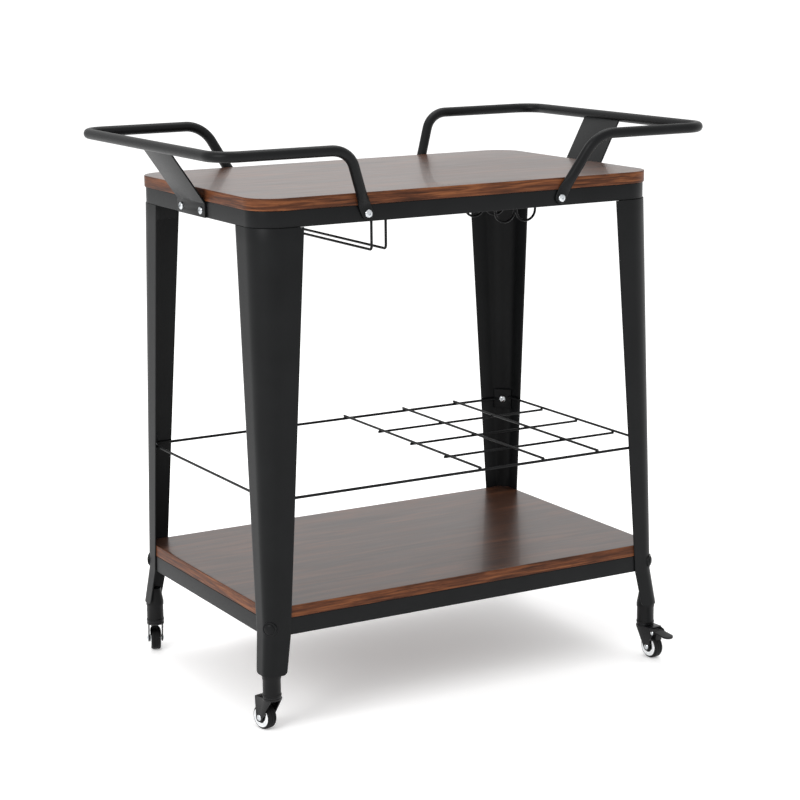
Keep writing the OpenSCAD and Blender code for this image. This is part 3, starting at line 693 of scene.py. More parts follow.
def run_tree(
    seed: bpy.types.Mesh, tree: bpy.types.NodeTree, values: dict, name: str, sharp_deg: float = 35.0
) -> bpy.types.Object:
    """Runs a geometry tree on a mesh and keeps the plain result.

    Args:
        seed: What the tree starts from.
        tree: The tree.
        values: Socket name to value.
        name: Name of the piece.
        sharp_deg: Edges sharper than this stay crisp.

    Returns:
        The piece.
    """
    carrier = new_piece(name + "_seed", seed)
    modifier = carrier.modifiers.new("shape", "NODES")
    modifier.node_group = tree
    sockets = {s.name: s.identifier for s in tree.interface.items_tree if s.in_out == "INPUT"}
    for key, value in values.items():
        modifier[sockets[key]] = value
    view = bpy.context.evaluated_depsgraph_get()
    made = bpy.data.meshes.new_from_object(carrier.evaluated_get(view), depsgraph=view)
    bpy.data.objects.remove(carrier)
    made.name = name
    for label in [a.name for a in made.attributes if a.name.startswith("bar_") or a.name in ("bend", "axis")]:
        made.attributes.remove(made.attributes[label])
    shade(made, sharp_deg)
    return new_piece(name, made)


class Workshop:
    """Holds the node trees, and turns shapes into finished pieces."""

    def __init__(self) -> None:
        """Builds the trees once."""
        self.bar = bent_bar_tree()
        self.hardware = hardware_tree()

    def finish(self, piece: bpy.types.Object, body: str, slot: str, *nodes: str) -> None:
        """Ties a piece to its body and hides the nodes it stands for.

        Args:
            piece: The piece.
            body: The body it rides on.
            slot: Not used.
            *nodes: The frame nodes it replaces.
        """
        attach(piece, body)
        if nodes:
            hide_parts(*nodes)
        LOG.info("%s: %d faces on %s", piece.name, len(piece.data.polygons), body)

    def dressed(self, mesh: bpy.types.Mesh, *finishes: Finish) -> bpy.types.Object:
        """Makes a piece from a mesh and gives it its finishes.

        Args:
            mesh: The mesh, which carries the piece's name.
            *finishes: What it is finished in.

        Returns:
            The piece.
        """
        for finish in finishes:
            mesh.materials.append(finish.material())
        return new_piece(mesh.name, mesh)

    def bars(
        self,
        name: str,
        lines: list[Line],
        diameter: float,
        sides: int = 12,
        step: float = 4 * MM,
        **flat: float,
    ) -> bpy.types.Object:
        """Makes bent bars from lines.

        Args:
            name: Name of the piece.
            lines: Lines of points with bend radii.
            diameter: Diameter of the bar.
            sides: Segments round the bar.
            step: Spacing of the rings along it.
            **flat: Sizes of the squashed ends, as the tree names them with underscores.

        Returns:
            The piece.
        """
        points = [spot for line in lines for spot in line]
        edges, start = [], 0
        for line in lines:
            edges += [(start + i, start + i + 1) for i in range(len(line) - 1)]
            start += len(line)
        seed = seed_mesh([p for p, _ in points], edges, "bend", "FLOAT", [r for _, r in points])
        values = {"Diameter": diameter, "Sides": sides, "Step": step, "Material": POWDER_COAT.material()}
        values.update({key.replace("_", " "): value for key, value in flat.items()})
        return run_tree(seed, self.bar, values, name, 50.0)

    def heads(self, name: str, spots: Spots, head: bpy.types.Mesh, finish: Finish) -> bpy.types.Object:
        """Puts a head on every spot.

        Args:
            name: Name of the piece.
            spots: Place and axis of each head.
            head: The head's mesh, standing on its origin.
            finish: What it is finished in.

        Returns:
            The piece.
        """
        pattern = new_piece(name + "_head", head)
        axes = [part for _, axis in spots for part in axis]
        seed = seed_mesh([p for p, _ in spots], [], "axis", "FLOAT_VECTOR", axes)
        values = {"Head": pattern, "Material": finish.material(), "Seed": 7}
        piece = run_tree(seed, self.hardware, values, name)
        bpy.data.objects.remove(pattern)
        return piece

    def softened(self, name: str, node: str, width: float, finish: Finish) -> bpy.types.Object:
        """Copies a frame node and rounds its edges as pressing and coating do.

        Args:
            name: Name of the piece.
            node: The frame node.
            width: Width of the rounding.
            finish: What it is finished in.

        Returns:
            The piece.
        """
        bm = bmesh.new()
        bm.from_mesh(frame["nodes"][node].data)
        bmesh.ops.remove_doubles(bm, verts=bm.verts, dist=2e-6)
        bmesh.ops.dissolve_limit(bm, angle_limit=math.radians(0.5), verts=bm.verts, edges=bm.edges)
        round_crisp_edges(bm, 32, width, 3)
        bmesh.ops.triangulate(bm, faces=[f for f in bm.faces if len(f.verts) > 4])
        return self.dressed(mesh_from(bm, name, 40.0), finish)


def round_crisp_edges(bm: bmesh.types.BMesh, from_deg: float, width: float, segments: int) -> None:
    """Rounds the edges that are sharper than an angle.

    Args:
        bm: The mesh under construction.
        from_deg: Softer edges are left alone.
        width: Width of the rounding.
        segments: Steps across it.
    """
    crisp = [e for e in bm.edges if e.is_manifold and e.calc_face_angle(0.0) > math.radians(from_deg)]
    settings = {"segments": segments, "profile": 0.5, "affect": "EDGES", "clamp_overlap": True}
    bmesh.ops.bevel(bm, geom=crisp, offset=width, **settings)


# ---------- sub-assemblies ----------


@dataclass
class SubAssembly:
    """Something that the workshop builds.

    Attributes:
        shop: The workshop.
    """

    shop: Workshop

    def build(self) -> None:
        """Builds the pieces. Each sub-assembly has its own way."""
        raise NotImplementedError


@dataclass
class Board(SubAssembly):
    """A laminated board with a banded edge, eased all round.

    Attributes:
        node: The frame node it stands for.
        corner_r: Corner radius in plan.
        ease: Radius of the eased edge.
    """

    node: str
    corner_r: float
    ease: float = 1.2 * MM

    def build(self) -> None:
        """Builds the board's faces and edge band with a grain map."""
        low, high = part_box(self.node)
        middle, half = (low + high) / 2, (high - low) / 2
        outline = rounded_outline(half.x, half.y, self.corner_r)
        thick = high.z - low.z
        eased = [(self.ease * (1 - math.sin(a)), self.ease * (1 - math.cos(a))) for a in arc(4)]
        section = [(4 * self.ease, 0.0), *eased, *[(inset, thick - z) for inset, z in reversed(eased)]]
        section.append((4 * self.ease, thick))
        base = Vector((middle.x, middle.y, low.z))
        bm = bmesh.new()
        bands = loft(bm, [[base + UP * z + p - n * inset for p, n, _ in outline] for inset, z in section])
        grain = bm.loops.layers.uv.new("grain")
        band_start = 3.0
        for number, band in enumerate(bands):
            on_edge = 1 < number < len(section) - 3
            for i, face in enumerate(band):
                face.material_index = int(on_edge)
                start = outline[i][2]
                end = outline[i + 1][2] if i + 1 < len(outline) else start + 2 * half.y
                for k, loop in enumerate(face.loops):
                    p = loop.vert.co
                    run = band_start + (end if k in (1, 2) else start)
                    loop[grain].uv = (run, p.z) if on_edge else (p.x, p.y)
        mesh = bpy.data.meshes.new(self.node + "_laminated")
        bm.to_mesh(mesh)
        bm.free()
        shade(mesh, 50.0)
        self.shop.finish(self.shop.dressed(mesh, FACE_LAMINATE, EDGE_BAND), "cart", "walnut_board", self.node)


@dataclass
class DeckFrame(SubAssembly):
    """Sheet ring under a board, with rolled edges and two cross bars.

    Attributes:
        node: The frame node it stands for.
        corner_r: Outer corner radius in plan.
        sheet: Thickness of the sheet.
        bar_x: Distance of each cross bar from the middle.
        bar_w: Width of a cross bar.
        bar_t: Thickness of a cross bar.
    """

    node: str
    corner_r: float
    sheet: float = 2 * MM
    bar_x: float = 250 * MM
    bar_w: float = 24 * MM
    bar_t: float = 3 * MM

    def build(self) -> None:
        """Builds the ring and its cross bars."""
        low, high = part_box(self.node)
        middle, half = (low + high) / 2, (high - low) / 2
        outline = rounded_outline(half.x, half.y, self.corner_r)
        r = self.sheet * 0.45
        near, far, under, over = self.sheet - r, r, low.z + r, high.z - r
        centres = enumerate(((near, under), (far, under), (far, over), (near, over)))
        section = [
            (x + r * math.cos(a), z - r * math.sin(a)) for start, (x, z) in centres for a in arc(4, start)
        ]
        base = Vector((middle.x, middle.y, 0))
        bm = bmesh.new()
        loft(bm, [[base + p - n * inset + UP * z for inset, z in section] for p, n, _ in outline], True)
        reach = half.y - self.sheet * 0.7
        for x in (-self.bar_x, self.bar_x):
            eased_box(bm, (x, 0, high.z - self.bar_t / 2), (self.bar_w, 2 * reach, self.bar_t))
        piece = self.shop.dressed(mesh_from(bm, self.node + "_rolled"), POWDER_COAT)
        self.shop.finish(piece, "cart", "black_steel", self.node)


@dataclass
class Leg(SubAssembly):
    """A tapered leg pressed from sheet, rounded on its outer corner, with the tongue in the top frame.

    Attributes:
        corner: Which corner it stands at.
        slant: Outward lean of the whole leg along X and Y.
        kick: Further outward lean below bend_z.
        clip: Radius of the clipped corners at the foot.
    """

    corner: Corner
    sheet: float = 1.5 * MM
    top_w: tuple[float, float] = (73 * MM, 76 * MM)
    foot_w: tuple[float, float] = (34 * MM, 34 * MM)
    top_r: float = 44.5 * MM
    foot_r: float = 16 * MM
    slant: tuple[float, float] = (4 * MM, 8 * MM)
    kick: tuple[float, float] = (6.5 * MM, 5 * MM)
    top_z: float = 747 * MM
    bend_z: float = 146 * MM
    foot_z: float = 88 * MM
    clip: float = 6 * MM
    ease: float = 0.4 * MM
    tongue_in: float = 2.1 * MM
    tongue_t: float = 2 * MM
    tongue_r: float = 41.9 * MM
    tongue_w: float = 62 * MM
    tongue_z: tuple[float, float] = (715 * MM, 768 * MM)

    def strip(self, out: list[float], r: float, wide: list[float], z: float) -> list[Vector]:
        """Open outline round the leg's corner, from one free edge to the other.

        Args:
            out: Where the two faces stand along X and Y.
            r: Corner radius.
            wide: Width of each face, from the corner's outer edges.
            z: Height above the floor.

        Returns:
            The points, mirrored to the leg's own corner.
        """
        x, y = out
        steps = 6
        points = [(x - wide[0] + (wide[0] - r) * i / steps, y) for i in range(steps)]
        points += [(x - r + r * math.sin(a), y - r + r * math.cos(a)) for a in arc(20)]
        points += [(x, y - r - (wide[1] - r) * (i + 1) / steps) for i in range(steps)]
        sx, sy = self.corner.value
        return [Vector((px * sx, py * sy, z)) for px, py in points]

    def section(self, z: float, inset: float) -> list[Vector]:
        """Open outline of the sheet at one height.

        Args:
            z: Height above the floor.
            inset: Distance in from the outer face.

        Returns:
            The points.
        """
        t = (self.top_z - z) / (self.top_z - self.foot_z)
        low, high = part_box("leg_" + self.corner.tag)
        foot = [max(abs(low[k]), abs(high[k])) for k in (0, 1)]
        kicked = max(0.0, (self.bend_z - z) / (self.bend_z - self.foot_z))
        out = [foot[k] - self.slant[k] * (1 - t) - self.kick[k] * (1 - kicked) - inset for k in (0, 1)]
        near_foot = max(0.0, 1 - (z - self.foot_z) / self.clip)
        clipped = self.clip * (1 - math.sqrt(1 - near_foot**2))
        wide = [mix(self.top_w[k], self.foot_w[k], t) - inset - clipped for k in (0, 1)]
        return self.strip(out, mix(self.top_r, self.foot_r, t) - inset, wide, z)

    def heights(self) -> list[float]:
        """Heights of the sections, closer together near the clipped foot."""
        clip_z = self.foot_z + self.clip
        clipped = [self.foot_z + self.clip * (1 - math.cos(a)) for a in arc(7)[:-1]]
        low = [mix(clip_z, self.bend_z, i / 6) for i in range(6)]
        return clipped + low + [mix(self.bend_z, self.top_z, i / 24) for i in range(25)]

    def tongue(self, z: float) -> list[Vector]:
        """Closed outline of the tongue at one height."""
        face, inside = (
            self.strip(
                [half - self.tongue_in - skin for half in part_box("top_frame")[1][:2]],
                self.tongue_r - skin, [self.tongue_w - skin] * 2, z,
            )
            for skin in (0.0, self.tongue_t)
        )
        return face + inside[::-1]

    def build(self) -> None:
        """Builds the pressed sheet and the tongue that stands in the top frame."""
        bm = bmesh.new()
        loft(bm, [self.section(z, 0.0) + self.section(z, self.sheet)[::-1] for z in self.heights()])
        loft(bm, [self.tongue(z) for z in self.tongue_z])
        bmesh.ops.remove_doubles(bm, verts=bm.verts, dist=1e-6)
        bmesh.ops.recalc_face_normals(bm, faces=bm.faces)
        round_crisp_edges(bm, 50, self.ease, 2)
        piece = self.shop.dressed(mesh_from(bm, f"leg_{self.corner.tag}_pressed", 40.0), POWDER_COAT)
        self.shop.finish(piece, "cart", "black_steel", "leg_" + self.corner.tag)


@dataclass
class Handle(SubAssembly):
    """A bent tube handle with squashed ends, and the sloping plate that carries its end bar.

    Attributes:
        side: -1 for the left handle and 1 for the right one.
        rake: Lean of each end away from vertical.
        tab_over: How far a squashed end reaches past its bolt.
        tab_up: How far above the bolt the tube starts to lean out.
    """

    side: int
    tube_d: float = 16 * MM
    corner_r: float = 36 * MM
    drop_r: float = 45 * MM
    foot_r: float = 30 * MM
    rake: float = math.radians(24)
    bolt_x: float = 168 * MM
    tab_t: float = 5 * MM
    tab_w: float = 20 * MM
    tab_over: float = 10 * MM
    tab_up: float = 13 * MM

    def build(self) -> None:
        """Builds the tube and the plate."""
        tag = "left" if self.side < 0 else "right"
        low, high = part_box("handle_" + tag)
        frame_low, frame_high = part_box("top_frame")
        end_x = max(abs(low.x), abs(high.x)) - self.tube_d / 2
        run_y, run_z = high.y - self.tube_d / 2, high.z - self.tube_d / 2
        tab_y = frame_high.y + self.tab_t / 2
        tab_z = (frame_low.z + frame_high.z) / 2 - 0.5 * MM
        lean = math.atan2(run_y - tab_y, run_z - tab_z)
        top_x = self.bolt_x + (run_z - tab_z) / math.cos(lean) * math.tan(self.rake)
        tab = [
            (self.bolt_x + up * math.sin(self.rake), tab_y, tab_z + up * math.cos(self.rake), r)
            for up, r in ((-self.tab_over, 0.0), (self.tab_up, self.foot_r))
        ]
        half = [*tab, (top_x, run_y, run_z, self.drop_r), (end_x, run_y, run_z, self.corner_r)]
        line = [(Vector((self.side * x, -y, z)), r) for x, y, z, r in half]
        line += [(Vector((self.side * x, y, z)), r) for x, y, z, r in reversed(half)]
        flat = {"Flat_Amount": 1.0, "Flat_Thickness": self.tab_t, "Flat_Width": self.tab_w}
        flat.update({"Flat_Length": 22 * MM, "Neck_Length": 50 * MM})
        tube = self.shop.bars(f"handle_{tag}_tube", [line], self.tube_d, 28, 3 * MM, **flat)
        self.shop.finish(tube, "cart", "black_steel", "handle_" + tag)
        node = "handle_plate_" + tag
        plate = self.shop.softened(node + "_pressed", node, 0.5 * MM, POWDER_COAT)
        self.shop.finish(plate, "cart", "black_steel", node)


@dataclass
class Fasteners(SubAssembly):
    """Button-head bolts, and the black caps on the shelf's corners.

    Attributes:
        head_r: Radius of a bolt head.
        head_h: Height of a bolt head.
        cap_rim: Height of the wide rim under a cap's dome.
    """

    head_r: float = 6 * MM
    head_h: float = 3.4 * MM
    socket_r: float = 2.2 * MM
    cap_r: float = 11 * MM
    cap_dome_r: float = 8 * MM
    cap_rim: float = 0.8 * MM
    cap_h: float = 3.8 * MM
    ease: float = 0.4 * MM

    def cap(self, name: str) -> bpy.types.Mesh:
        """A dome on a wider rim whose skirt reaches down round the leg's corner.

        Args:
            name: Name of the mesh.

        Returns:
            The mesh.
        """
        profile = [(0.0, -self.cap_h), (self.cap_r, -self.cap_h), (self.cap_r, self.cap_rim - self.ease)]
        profile += [(self.cap_r - self.ease, self.cap_rim), (self.cap_dome_r + self.ease, self.cap_rim)]
        tall = self.cap_h - self.cap_rim
        profile += [(self.cap_dome_r * math.cos(a), self.cap_rim + tall * math.sin(a)) for a in arc(8)[:-1]]
        return lathe([*profile, (0.0, self.cap_h)], Matrix.Identity(4), name, 30.0)

    def button(self, name: str) -> bpy.types.Mesh:
        """A domed head with a six-sided socket, standing on its origin.

        Args:
            name: Name of the mesh.

        Returns:
            The mesh.
        """
        turns = [math.tau * i / 36 for i in range(36)]
        r, h, rim = self.head_r, self.head_h, 0.22 * self.head_h
        skin = [(r, -1.5 * MM)] + [(r * math.cos(a), mix(rim, h, math.sin(a))) for a in arc(10)[:9]]
        rings = [[Vector((rr * math.cos(a), rr * math.sin(a), z)) for a in turns] for rr, z in skin]
        sixth = math.pi / 3
        holes = ((self.socket_r * 1.12, h), (self.socket_r, h - 0.25 * MM), (self.socket_r, h - 1.6 * MM))
        for rr, z in holes:
            flats = [rr * math.cos(sixth / 2) / math.cos((a % sixth) - sixth / 2) for a in turns]
            rings.append([Vector((f * math.cos(a), f * math.sin(a), z)) for f, a in zip(flats, turns)])
        bm = bmesh.new()
        loft(bm, rings)
        return mesh_from(bm, name, 40.0)

    def seats(self, node: str, head_h: float, out: bool) -> Spots:
        """Seats of the heads of a node's bolts.

        Args:
            node: The frame node with the bolts.
            head_h: Height of the heads.
            out: Whether the heads face away from the cart's middle.

        Returns:
            Place and axis of each head.
        """
        spots = []
        for points in solids(node):
            centre, size = middle_and_size(points)
            flat = Vector((math.copysign(1, centre.x), math.copysign(1, centre.y), 0))
            if abs(size.x - size.y) > MM:
                flat = Vector((flat.x, 0, 0)) if size.x > size.y else Vector((0, flat.y, 0))
            axis = flat.normalized() * (1 if out else -1)
            top = max(p.dot(axis) for p in points)
            spots.append((centre + axis * (top - head_h - centre.dot(axis)), axis))
        return spots

    def build(self) -> None:
        """Puts the heads on."""
        for node, out in (("handle_bolts", True), ("rack_bolts", False)):
            head = self.button(node + "_button")
            piece = self.shop.heads(node + "_plated", self.seats(node, self.head_h, out), head, ZINC)
            self.shop.finish(piece, "cart", "zinc_steel", node)
        node = "shelf_corner_bolts"
        spots = self.seats(node, self.cap_h, True)
        caps = self.shop.heads(node + "_coated", spots, self.cap(node + "_cap"), POWDER_COAT)
        self.shop.finish(caps, "cart", "black_cap", node)


@dataclass
class BottleRack(SubAssembly):
    """Wire rack for bottles with its corner brackets."""

    rod_d: float = 4.5 * MM
    wire_d: float = 4 * MM
    bead: tuple[float, float, float] = (2.4 * MM, 2.4 * MM, 1.5 * MM)

    def runs(self, node: str) -> list[Line]:
        """Centrelines of a node's straight wires.

        Args:
            node: The frame node.

        Returns:
            One straight line for each wire.
        """
        lines = []
        for points in solids(node):
            centre, size = middle_and_size(points)
            half = Vector((size.x, 0, 0)) / 2 if size.x > size.y else Vector((0, size.y, 0)) / 2
            lines.append([(centre - half, 0.0), (centre + half, 0.0)])
        return lines

    def build(self) -> None:
        """Builds rods, wires, weld beads and brackets."""
        sizes = {"rack_rods": self.rod_d, "rack_cross_wires": self.wire_d, "rack_divider_wires": self.wire_d}
        for node, diameter in sizes.items():
            piece = self.shop.bars(node + "_drawn", self.runs(node), diameter, 12, 20 * MM)
            self.shop.finish(piece, "cart", "black_steel", node)
        self.weld()
        brackets = self.shop.softened("rack_brackets_pressed", "rack_brackets", 0.4 * MM, POWDER_COAT)
        self.shop.finish(brackets, "cart", "black_steel", "rack_brackets")

    def weld(self) -> None:
        """Puts a small weld bead wherever two wires cross."""
        spots = []
        across = self.runs("rack_cross_wires")
        for (a, _), (b, _) in self.runs("rack_rods") + self.runs("rack_divider_wires"):
            for (c, _), (d, _) in across:
                if a.x - MM <= c.x <= b.x + MM and c.y - MM <= a.y <= d.y + MM:
                    spots.append((Vector((c.x, a.y, (a.z + c.z) / 2)), UP))
        bead = bpy.data.meshes.new("bead")
        bm = bmesh.new()
        bmesh.ops.create_icosphere(bm, subdivisions=2, radius=1.0, matrix=Matrix.Diagonal((*self.bead, 1)))
        bm.to_mesh(bead)
        bm.free()
        bead.shade_smooth()
        self.shop.finish(self.shop.heads("rack_weld_beads", spots, bead, POWDER_COAT), "cart", "black_steel")


@dataclass
class Hangers(SubAssembly):
    """Glass wires and double hooks under the table top."""

    wire_d: float = 4 * MM
    glass_gap: float = 24 * MM
    glass_bend: float = 5 * MM
    hook_r: float = 17.5 * MM
    tip: float = 9 * MM
    flare: float = 1.2 * MM
    glass_pad: tuple[float, float] = (64 * MM, 14 * MM)
    hook_pad: tuple[float, float] = (44 * MM, 14 * MM)
    pad_t: float = 2 * MM

    def build(self) -> None:
        """Builds the wires and their screw pads."""
        self.glass("glass_wires")
        for node in ("double_hook_front", "double_hook_back"):
            self.hook(node)

    def hang(self, node: str, lines: list[Line], step: float, centres: list[tuple], pad: tuple) -> None:
        """Bends a node's wires and adds its screw pads.

        Args:
            node: The frame node it stands for.
            lines: The wires' lines.
            step: Spacing of the rings along a wire.
            centres: The pads' middles.
            pad: The pads' length and width.
        """
        wires = self.shop.bars(node + "_bent", lines, self.wire_d, 12, step)
        bm = bmesh.new()
        bm.from_mesh(wires.data)
        for centre in centres:
            eased_box(bm, centre, (*pad, self.pad_t))
        wires.data = mesh_from(bm, wires.name, 50.0)
        wires.data.materials.append(POWDER_COAT.material())
        self.shop.finish(wires, "cart", "black_steel", node)

    def glass(self, node: str) -> None:
        """Builds the two long glass wires.

        Args:
            node: The frame node they stand for.
        """
        low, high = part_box(node)
        middle_x = (low.x + high.x) / 2
        end_y = high.y - self.glass_pad[1] / 2
        floor, top = low.z + self.wire_d / 2, high.z - self.pad_t
        spots = ((-end_y, top, 0.0), (-end_y, floor, self.glass_bend), (end_y, floor, self.glass_bend))
        spots += ((end_y, top, 0.0),)
        xs = (middle_x - self.glass_gap / 2, middle_x + self.glass_gap / 2)
        lines = [[(Vector((x, y, z)), r) for y, z, r in spots] for x in xs]
        centres = [(middle_x, y, high.z - self.pad_t / 2) for y in (-end_y, end_y)]
        self.hang(node, lines, 3 * MM, centres, self.glass_pad)

    def hook(self, node: str) -> None:
        """Builds one pair of hooks, open outwards.

        Args:
            node: The frame node it stands for.
        """
        low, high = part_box(node)
        middle = (low + high) / 2
        bottom = low.z + self.wire_d / 2
        bend = self.hook_r * 0.999
        lines = []
        for side in (-1, 1):
            stem = middle.x + side * (self.wire_d / 2 - 0.1 * MM)
            far = stem + side * 2 * self.hook_r
            spots = [(stem, high.z - self.pad_t, 0.0), (stem, bottom, bend), (far, bottom, bend)]
            spots.append((far + side * self.flare, bottom + self.hook_r + self.tip, 0.0))
            lines.append([(Vector((x, middle.y, z)), r) for x, z, r in spots])
        self.hang(node, lines, 2 * MM, [(middle.x, middle.y, high.z - self.pad_t / 2)], self.hook_pad)


@dataclass
class Caster(SubAssembly):
    """Foot insert, fork, wheel and brake of one corner.

    Attributes:
        corner: Which corner it stands at.
        sheet_end: Height where the leg's sheet ends and the insert tapers.
        ring_in: Inner radius of a trim ring, and ring_out its outer one.
    """

    corner: Corner
    foot_r: float = 14.35 * MM
    foot_bore: float = 4.05 * MM
    foot_top: float = 110 * MM
    foot_top_r: float = 10.4 * MM
    sheet_end: float = 88 * MM
    tyre_w: float = 16 * MM
    tyre_edge: float = 3.6 * MM
    groove_z: float = 2.2 * MM
    wheel_r: float = 19 * MM
    hub_r: float = 12.5 * MM
    axle_r: float = 2.55 * MM
    boss_r: float = 5.5 * MM
    boss_half: float = 9.8 * MM
    ring_in: float = 8.5 * MM
    ring_out: float = 15.5 * MM
    ring_t: float = 0.9 * MM

    def joint(self, kind: str) -> dict:
        """The corner's swivel or roll joint, as the record gives it."""
        return next(j for j in frame["joints"] if j["name"] == f"{kind}_{self.corner.tag}")

    def build(self) -> None:
        """Builds the caster's pieces."""
        tag = self.corner.tag
        self.foot(tag)
        fork = self.shop.softened(f"fork_{tag}_stamped", "fork_" + tag, 0.5 * MM, FORK_ENAMEL)
        self.shop.finish(fork, "caster_" + tag, "black_fork", "fork_" + tag)
        self.wheel(tag)
        if "brake_" + tag in frame["nodes"]:
            lever = self.shop.softened(f"brake_{tag}_stamped", "brake_" + tag, 0.6 * MM, MOULDED_PLASTIC)
            self.shop.finish(lever, "brake_lever_" + tag, "black_fork", "brake_" + tag)

    def foot(self, tag: str) -> None:
        """Builds the foot insert with its collars.

        Args:
            tag: The corner's tag.
        """
        x, y, _ = self.joint("swivel")["pos_m"]
        r, z, end = self.foot_r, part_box("foot_" + tag)[0].z, self.sheet_end
        collar = [(r - 1.0 * MM, z), (r - 0.3 * MM, z + 0.3 * MM), (r, z + 1.0 * MM), (r, z + 3.2 * MM)]
        neck = [(r - 0.7 * MM, z + 4.0 * MM), (r - 0.7 * MM, end - 7 * MM), (r, end - 5.6 * MM), (r, end)]
        top = [(self.foot_top_r, self.foot_top), (self.foot_bore, self.foot_top)]
        profile = [(self.foot_bore, z), *collar, *neck, *top]
        mesh = lathe(profile, Matrix.Translation((x, y, 0)), f"foot_{tag}_moulded")
        self.shop.finish(self.shop.dressed(mesh, MOULDED_PLASTIC), "cart", "black_plastic", "foot_" + tag)

    def wheel(self, tag: str) -> None:
        """Builds the hub, tread and trim rings.

        Args:
            tag: The corner's tag.
        """
        roll = self.joint("roll")
        place = aimed(Vector(roll["axis"]), Vector(roll["pos_m"]))
        half, body, soft, dish = self.tyre_w / 2, "wheel_" + tag, 0.6 * MM, 1.2 * MM
        hub = [(self.axle_r, -self.boss_half), (self.boss_r - soft, -self.boss_half)]
        hub += [(self.boss_r, -self.boss_half + soft), (self.boss_r, -half + dish)]
        hub += [(self.ring_in - soft, -half + dish), (self.ring_in, -half), (self.hub_r, -half)]
        edge = self.tyre_edge
        tread = [(self.hub_r, -half), (self.ring_out - 0.5 * MM, -half)]
        for a in arc(8, -1):
            tread.append((self.wheel_r - edge + edge * math.cos(a), -half + edge + edge * math.sin(a)))
        for across, deep in ((-0.5, 0.0), (-0.25, 0.5), (0.25, 0.5), (0.5, 0.0)):
            tread.append((self.wheel_r - deep * MM, across * MM - self.groove_z))
        turned = (("hub", hub, MOULDED_PLASTIC, "black_plastic"), ("tyre", tread, TREAD, "black_rubber"))
        for kind, profile, finish, slot in turned:
            whole = profile + [(r, -z) for r, z in reversed(profile)]
            piece = self.shop.dressed(lathe(whole, place, f"{kind}_{tag}_turned"), finish)
            self.shop.finish(piece, body, slot, f"{kind}_{tag}")
        rises = ((0.0, 0.0), (0.4 * MM, 0.8), (1.4 * MM, 1.0))
        ring = [(self.ring_in + r, half + self.ring_t * up) for r, up in rises]
        falls = ((1.6 * MM, 1.0), (0.4 * MM, 0.7), (0.0, 0.0))
        ring += [(self.ring_out - r, half + self.ring_t * up) for r, up in falls]
        bm = bmesh.new()
        for side in (0, math.pi):
            made = lathe(ring, place @ Matrix.Rotation(side, 4, "X"), "ring")
            bm.from_mesh(made)
            bpy.data.meshes.remove(made)
        piece = self.shop.dressed(mesh_from(bm, f"rings_{tag}_plated"), CHROME)
        self.shop.finish(piece, body, "chrome_ring", "rings_" + tag)


def dress_carried_nodes() -> None:
    """Gives every frame node that still shows its real finish."""
    finishes = {
        "zinc_steel": ZINC,
        "black_steel": POWDER_COAT,
        "black_cap": POWDER_COAT,
        "black_fork": FORK_ENAMEL,
        "black_plastic": MOULDED_PLASTIC,
        "black_rubber": TREAD,
        "chrome_ring": CHROME,
    }
    slots = {s["node"]: s["material_slot"] for s in frame["record"]["subparts"]}
    for name, node in frame["nodes"].items():
        if node.hide_render or slots[name] not in finishes:
            continue
        for slot in node.material_slots:
            slot.material = finishes[slots[name]].material()
        LOG.info("%s keeps its shape", name)


# ---------- studio ----------


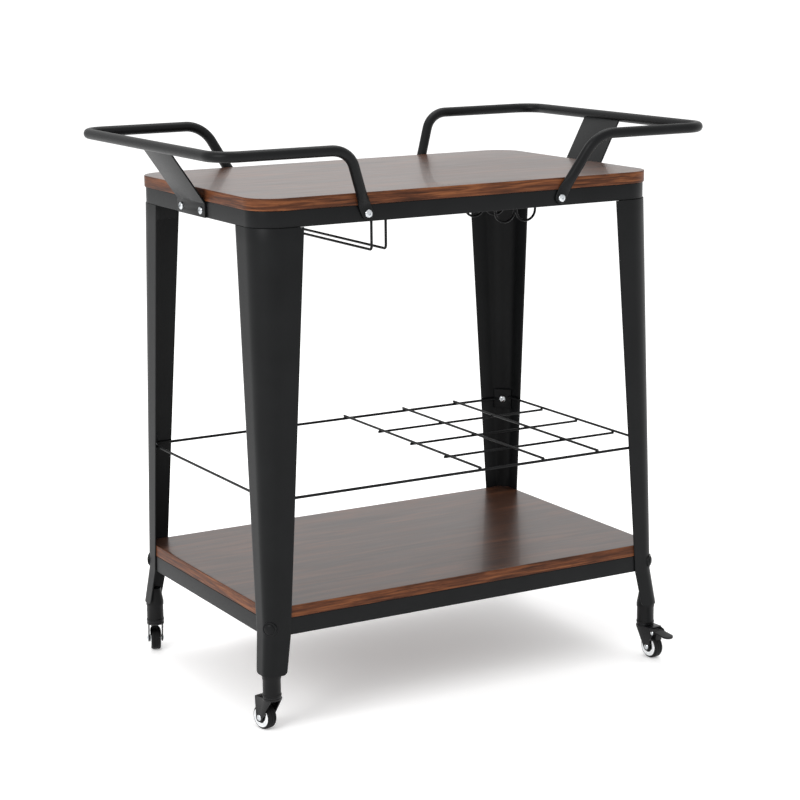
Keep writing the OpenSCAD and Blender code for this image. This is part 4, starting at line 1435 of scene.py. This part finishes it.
@dataclass
class Studio:
    """Pale floor, soft lights and the camera.

    Attributes:
        eye: Where the camera stands.
        yaw: Turn of the view from +Y towards +X.
        pitch: Dip of the view below level.
        roll: Turn of the picture.
        lens_mm: Focal length on a 36 mm sensor.
        target_z: Height that the lamps face.
    """

    eye: tuple[float, float, float] = (-1.68531, -2.97668, 1.15065)
    yaw: float = 0.51678
    pitch: float = 0.20922
    roll: float = -0.01085
    lens_mm: float = 98.19
    floor_half: float = 90.0
    floor_glow: float = 0.22
    sky: float = 1.0
    target_z: float = 0.45

    def camera(self) -> None:
        """Creates the camera and makes it the scene's."""
        right = Vector((math.cos(self.yaw), -math.sin(self.yaw), 0))
        level = UP.cross(right)
        ahead = level * math.cos(self.pitch) - UP * math.sin(self.pitch)
        up = right.cross(ahead)
        side = right * math.cos(self.roll) + up * math.sin(self.roll)
        top = up * math.cos(self.roll) - right * math.sin(self.roll)
        data = bpy.data.cameras.new("camera")
        data.lens = self.lens_mm
        data.sensor_width = 36
        data.clip_end = 300
        camera = bpy.data.objects.new("camera", data)
        bpy.context.scene.collection.objects.link(camera)
        turn = Matrix((side, top, -ahead)).transposed().to_4x4()
        camera.matrix_world = Matrix.Translation(self.eye) @ turn
        bpy.context.scene.camera = camera

    def floor(self) -> None:
        """Lays the pale floor."""
        bm = bmesh.new()
        bmesh.ops.create_grid(bm, x_segments=8, y_segments=8, size=self.floor_half)
        mesh = bpy.data.meshes.new("floor")
        bm.to_mesh(mesh)
        bm.free()
        material = bpy.data.materials.new("pale studio floor")
        material.use_nodes = True
        looks = {"Base Color": linear("#fafafa"), "Roughness": 0.9, "Specular IOR Level": 0.0}
        looks.update({"Emission Color": linear("#ffffff"), "Emission Strength": self.floor_glow})
        Graph(material.node_tree).fill(material.node_tree.nodes["Principled BSDF"], looks)
        mesh.materials.append(material)
        new_piece("floor", mesh)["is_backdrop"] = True

    def lamp(self, name: str, at: tuple[float, float, float], size: float, power: float) -> None:
        """Hangs one soft lamp that faces the cart.

        Args:
            name: The lamp's name.
            at: Where it hangs.
            size: Its edge length.
            power: Its power in watts.
        """
        data = bpy.data.lights.new(name, "AREA")
        data.size = size
        data.energy = power
        lamp = bpy.data.objects.new(name, data)
        bpy.context.scene.collection.objects.link(lamp)
        lamp.matrix_world = aimed(Vector(at) - UP * self.target_z, Vector(at))

    def build(self) -> None:
        """Sets up the whole studio."""
        scene = bpy.context.scene
        scene.view_settings.view_transform = "Standard"
        scene.world = bpy.data.worlds.new("soft studio")
        scene.world.use_nodes = True
        sky = {"Color": linear("#ffffff"), "Strength": self.sky}
        Graph(scene.world.node_tree).fill(scene.world.node_tree.nodes["Background"], sky)
        self.floor()
        self.lamp("key", (-3.2, -1.4, 2.4), 1.8, 60)
        self.lamp("top", (0.4, 0.6, 3.4), 2.4, 45)
        self.camera()


def build_cart() -> None:
    """Builds every sub-assembly in order."""
    shop = Workshop()
    shelf_r = 18.91 * MM
    parts = [Board(shop, "tabletop_board", 46 * MM), Board(shop, "shelf_board", shelf_r)]
    parts += [DeckFrame(shop, "top_frame", 44 * MM), DeckFrame(shop, "shelf_frame", shelf_r)]
    for corner in Corner:
        parts += [Leg(shop, corner), Caster(shop, corner)]
    parts += [Handle(shop, -1), Handle(shop, 1), Fasteners(shop), BottleRack(shop), Hangers(shop)]
    for part in parts:
        part.build()
    dress_carried_nodes()


def main() -> None:
    """Builds the cart and its studio."""
    logging.basicConfig(level=logging.INFO, format="%(message)s")
    build_cart()
    Studio().build()
    boxes = {"cad": CAD_BOX, "visual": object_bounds()}
    plain = {name: [[float(v) for v in corner] for corner in box] for name, box in boxes.items()}


if __name__ == "__main__":
    main()
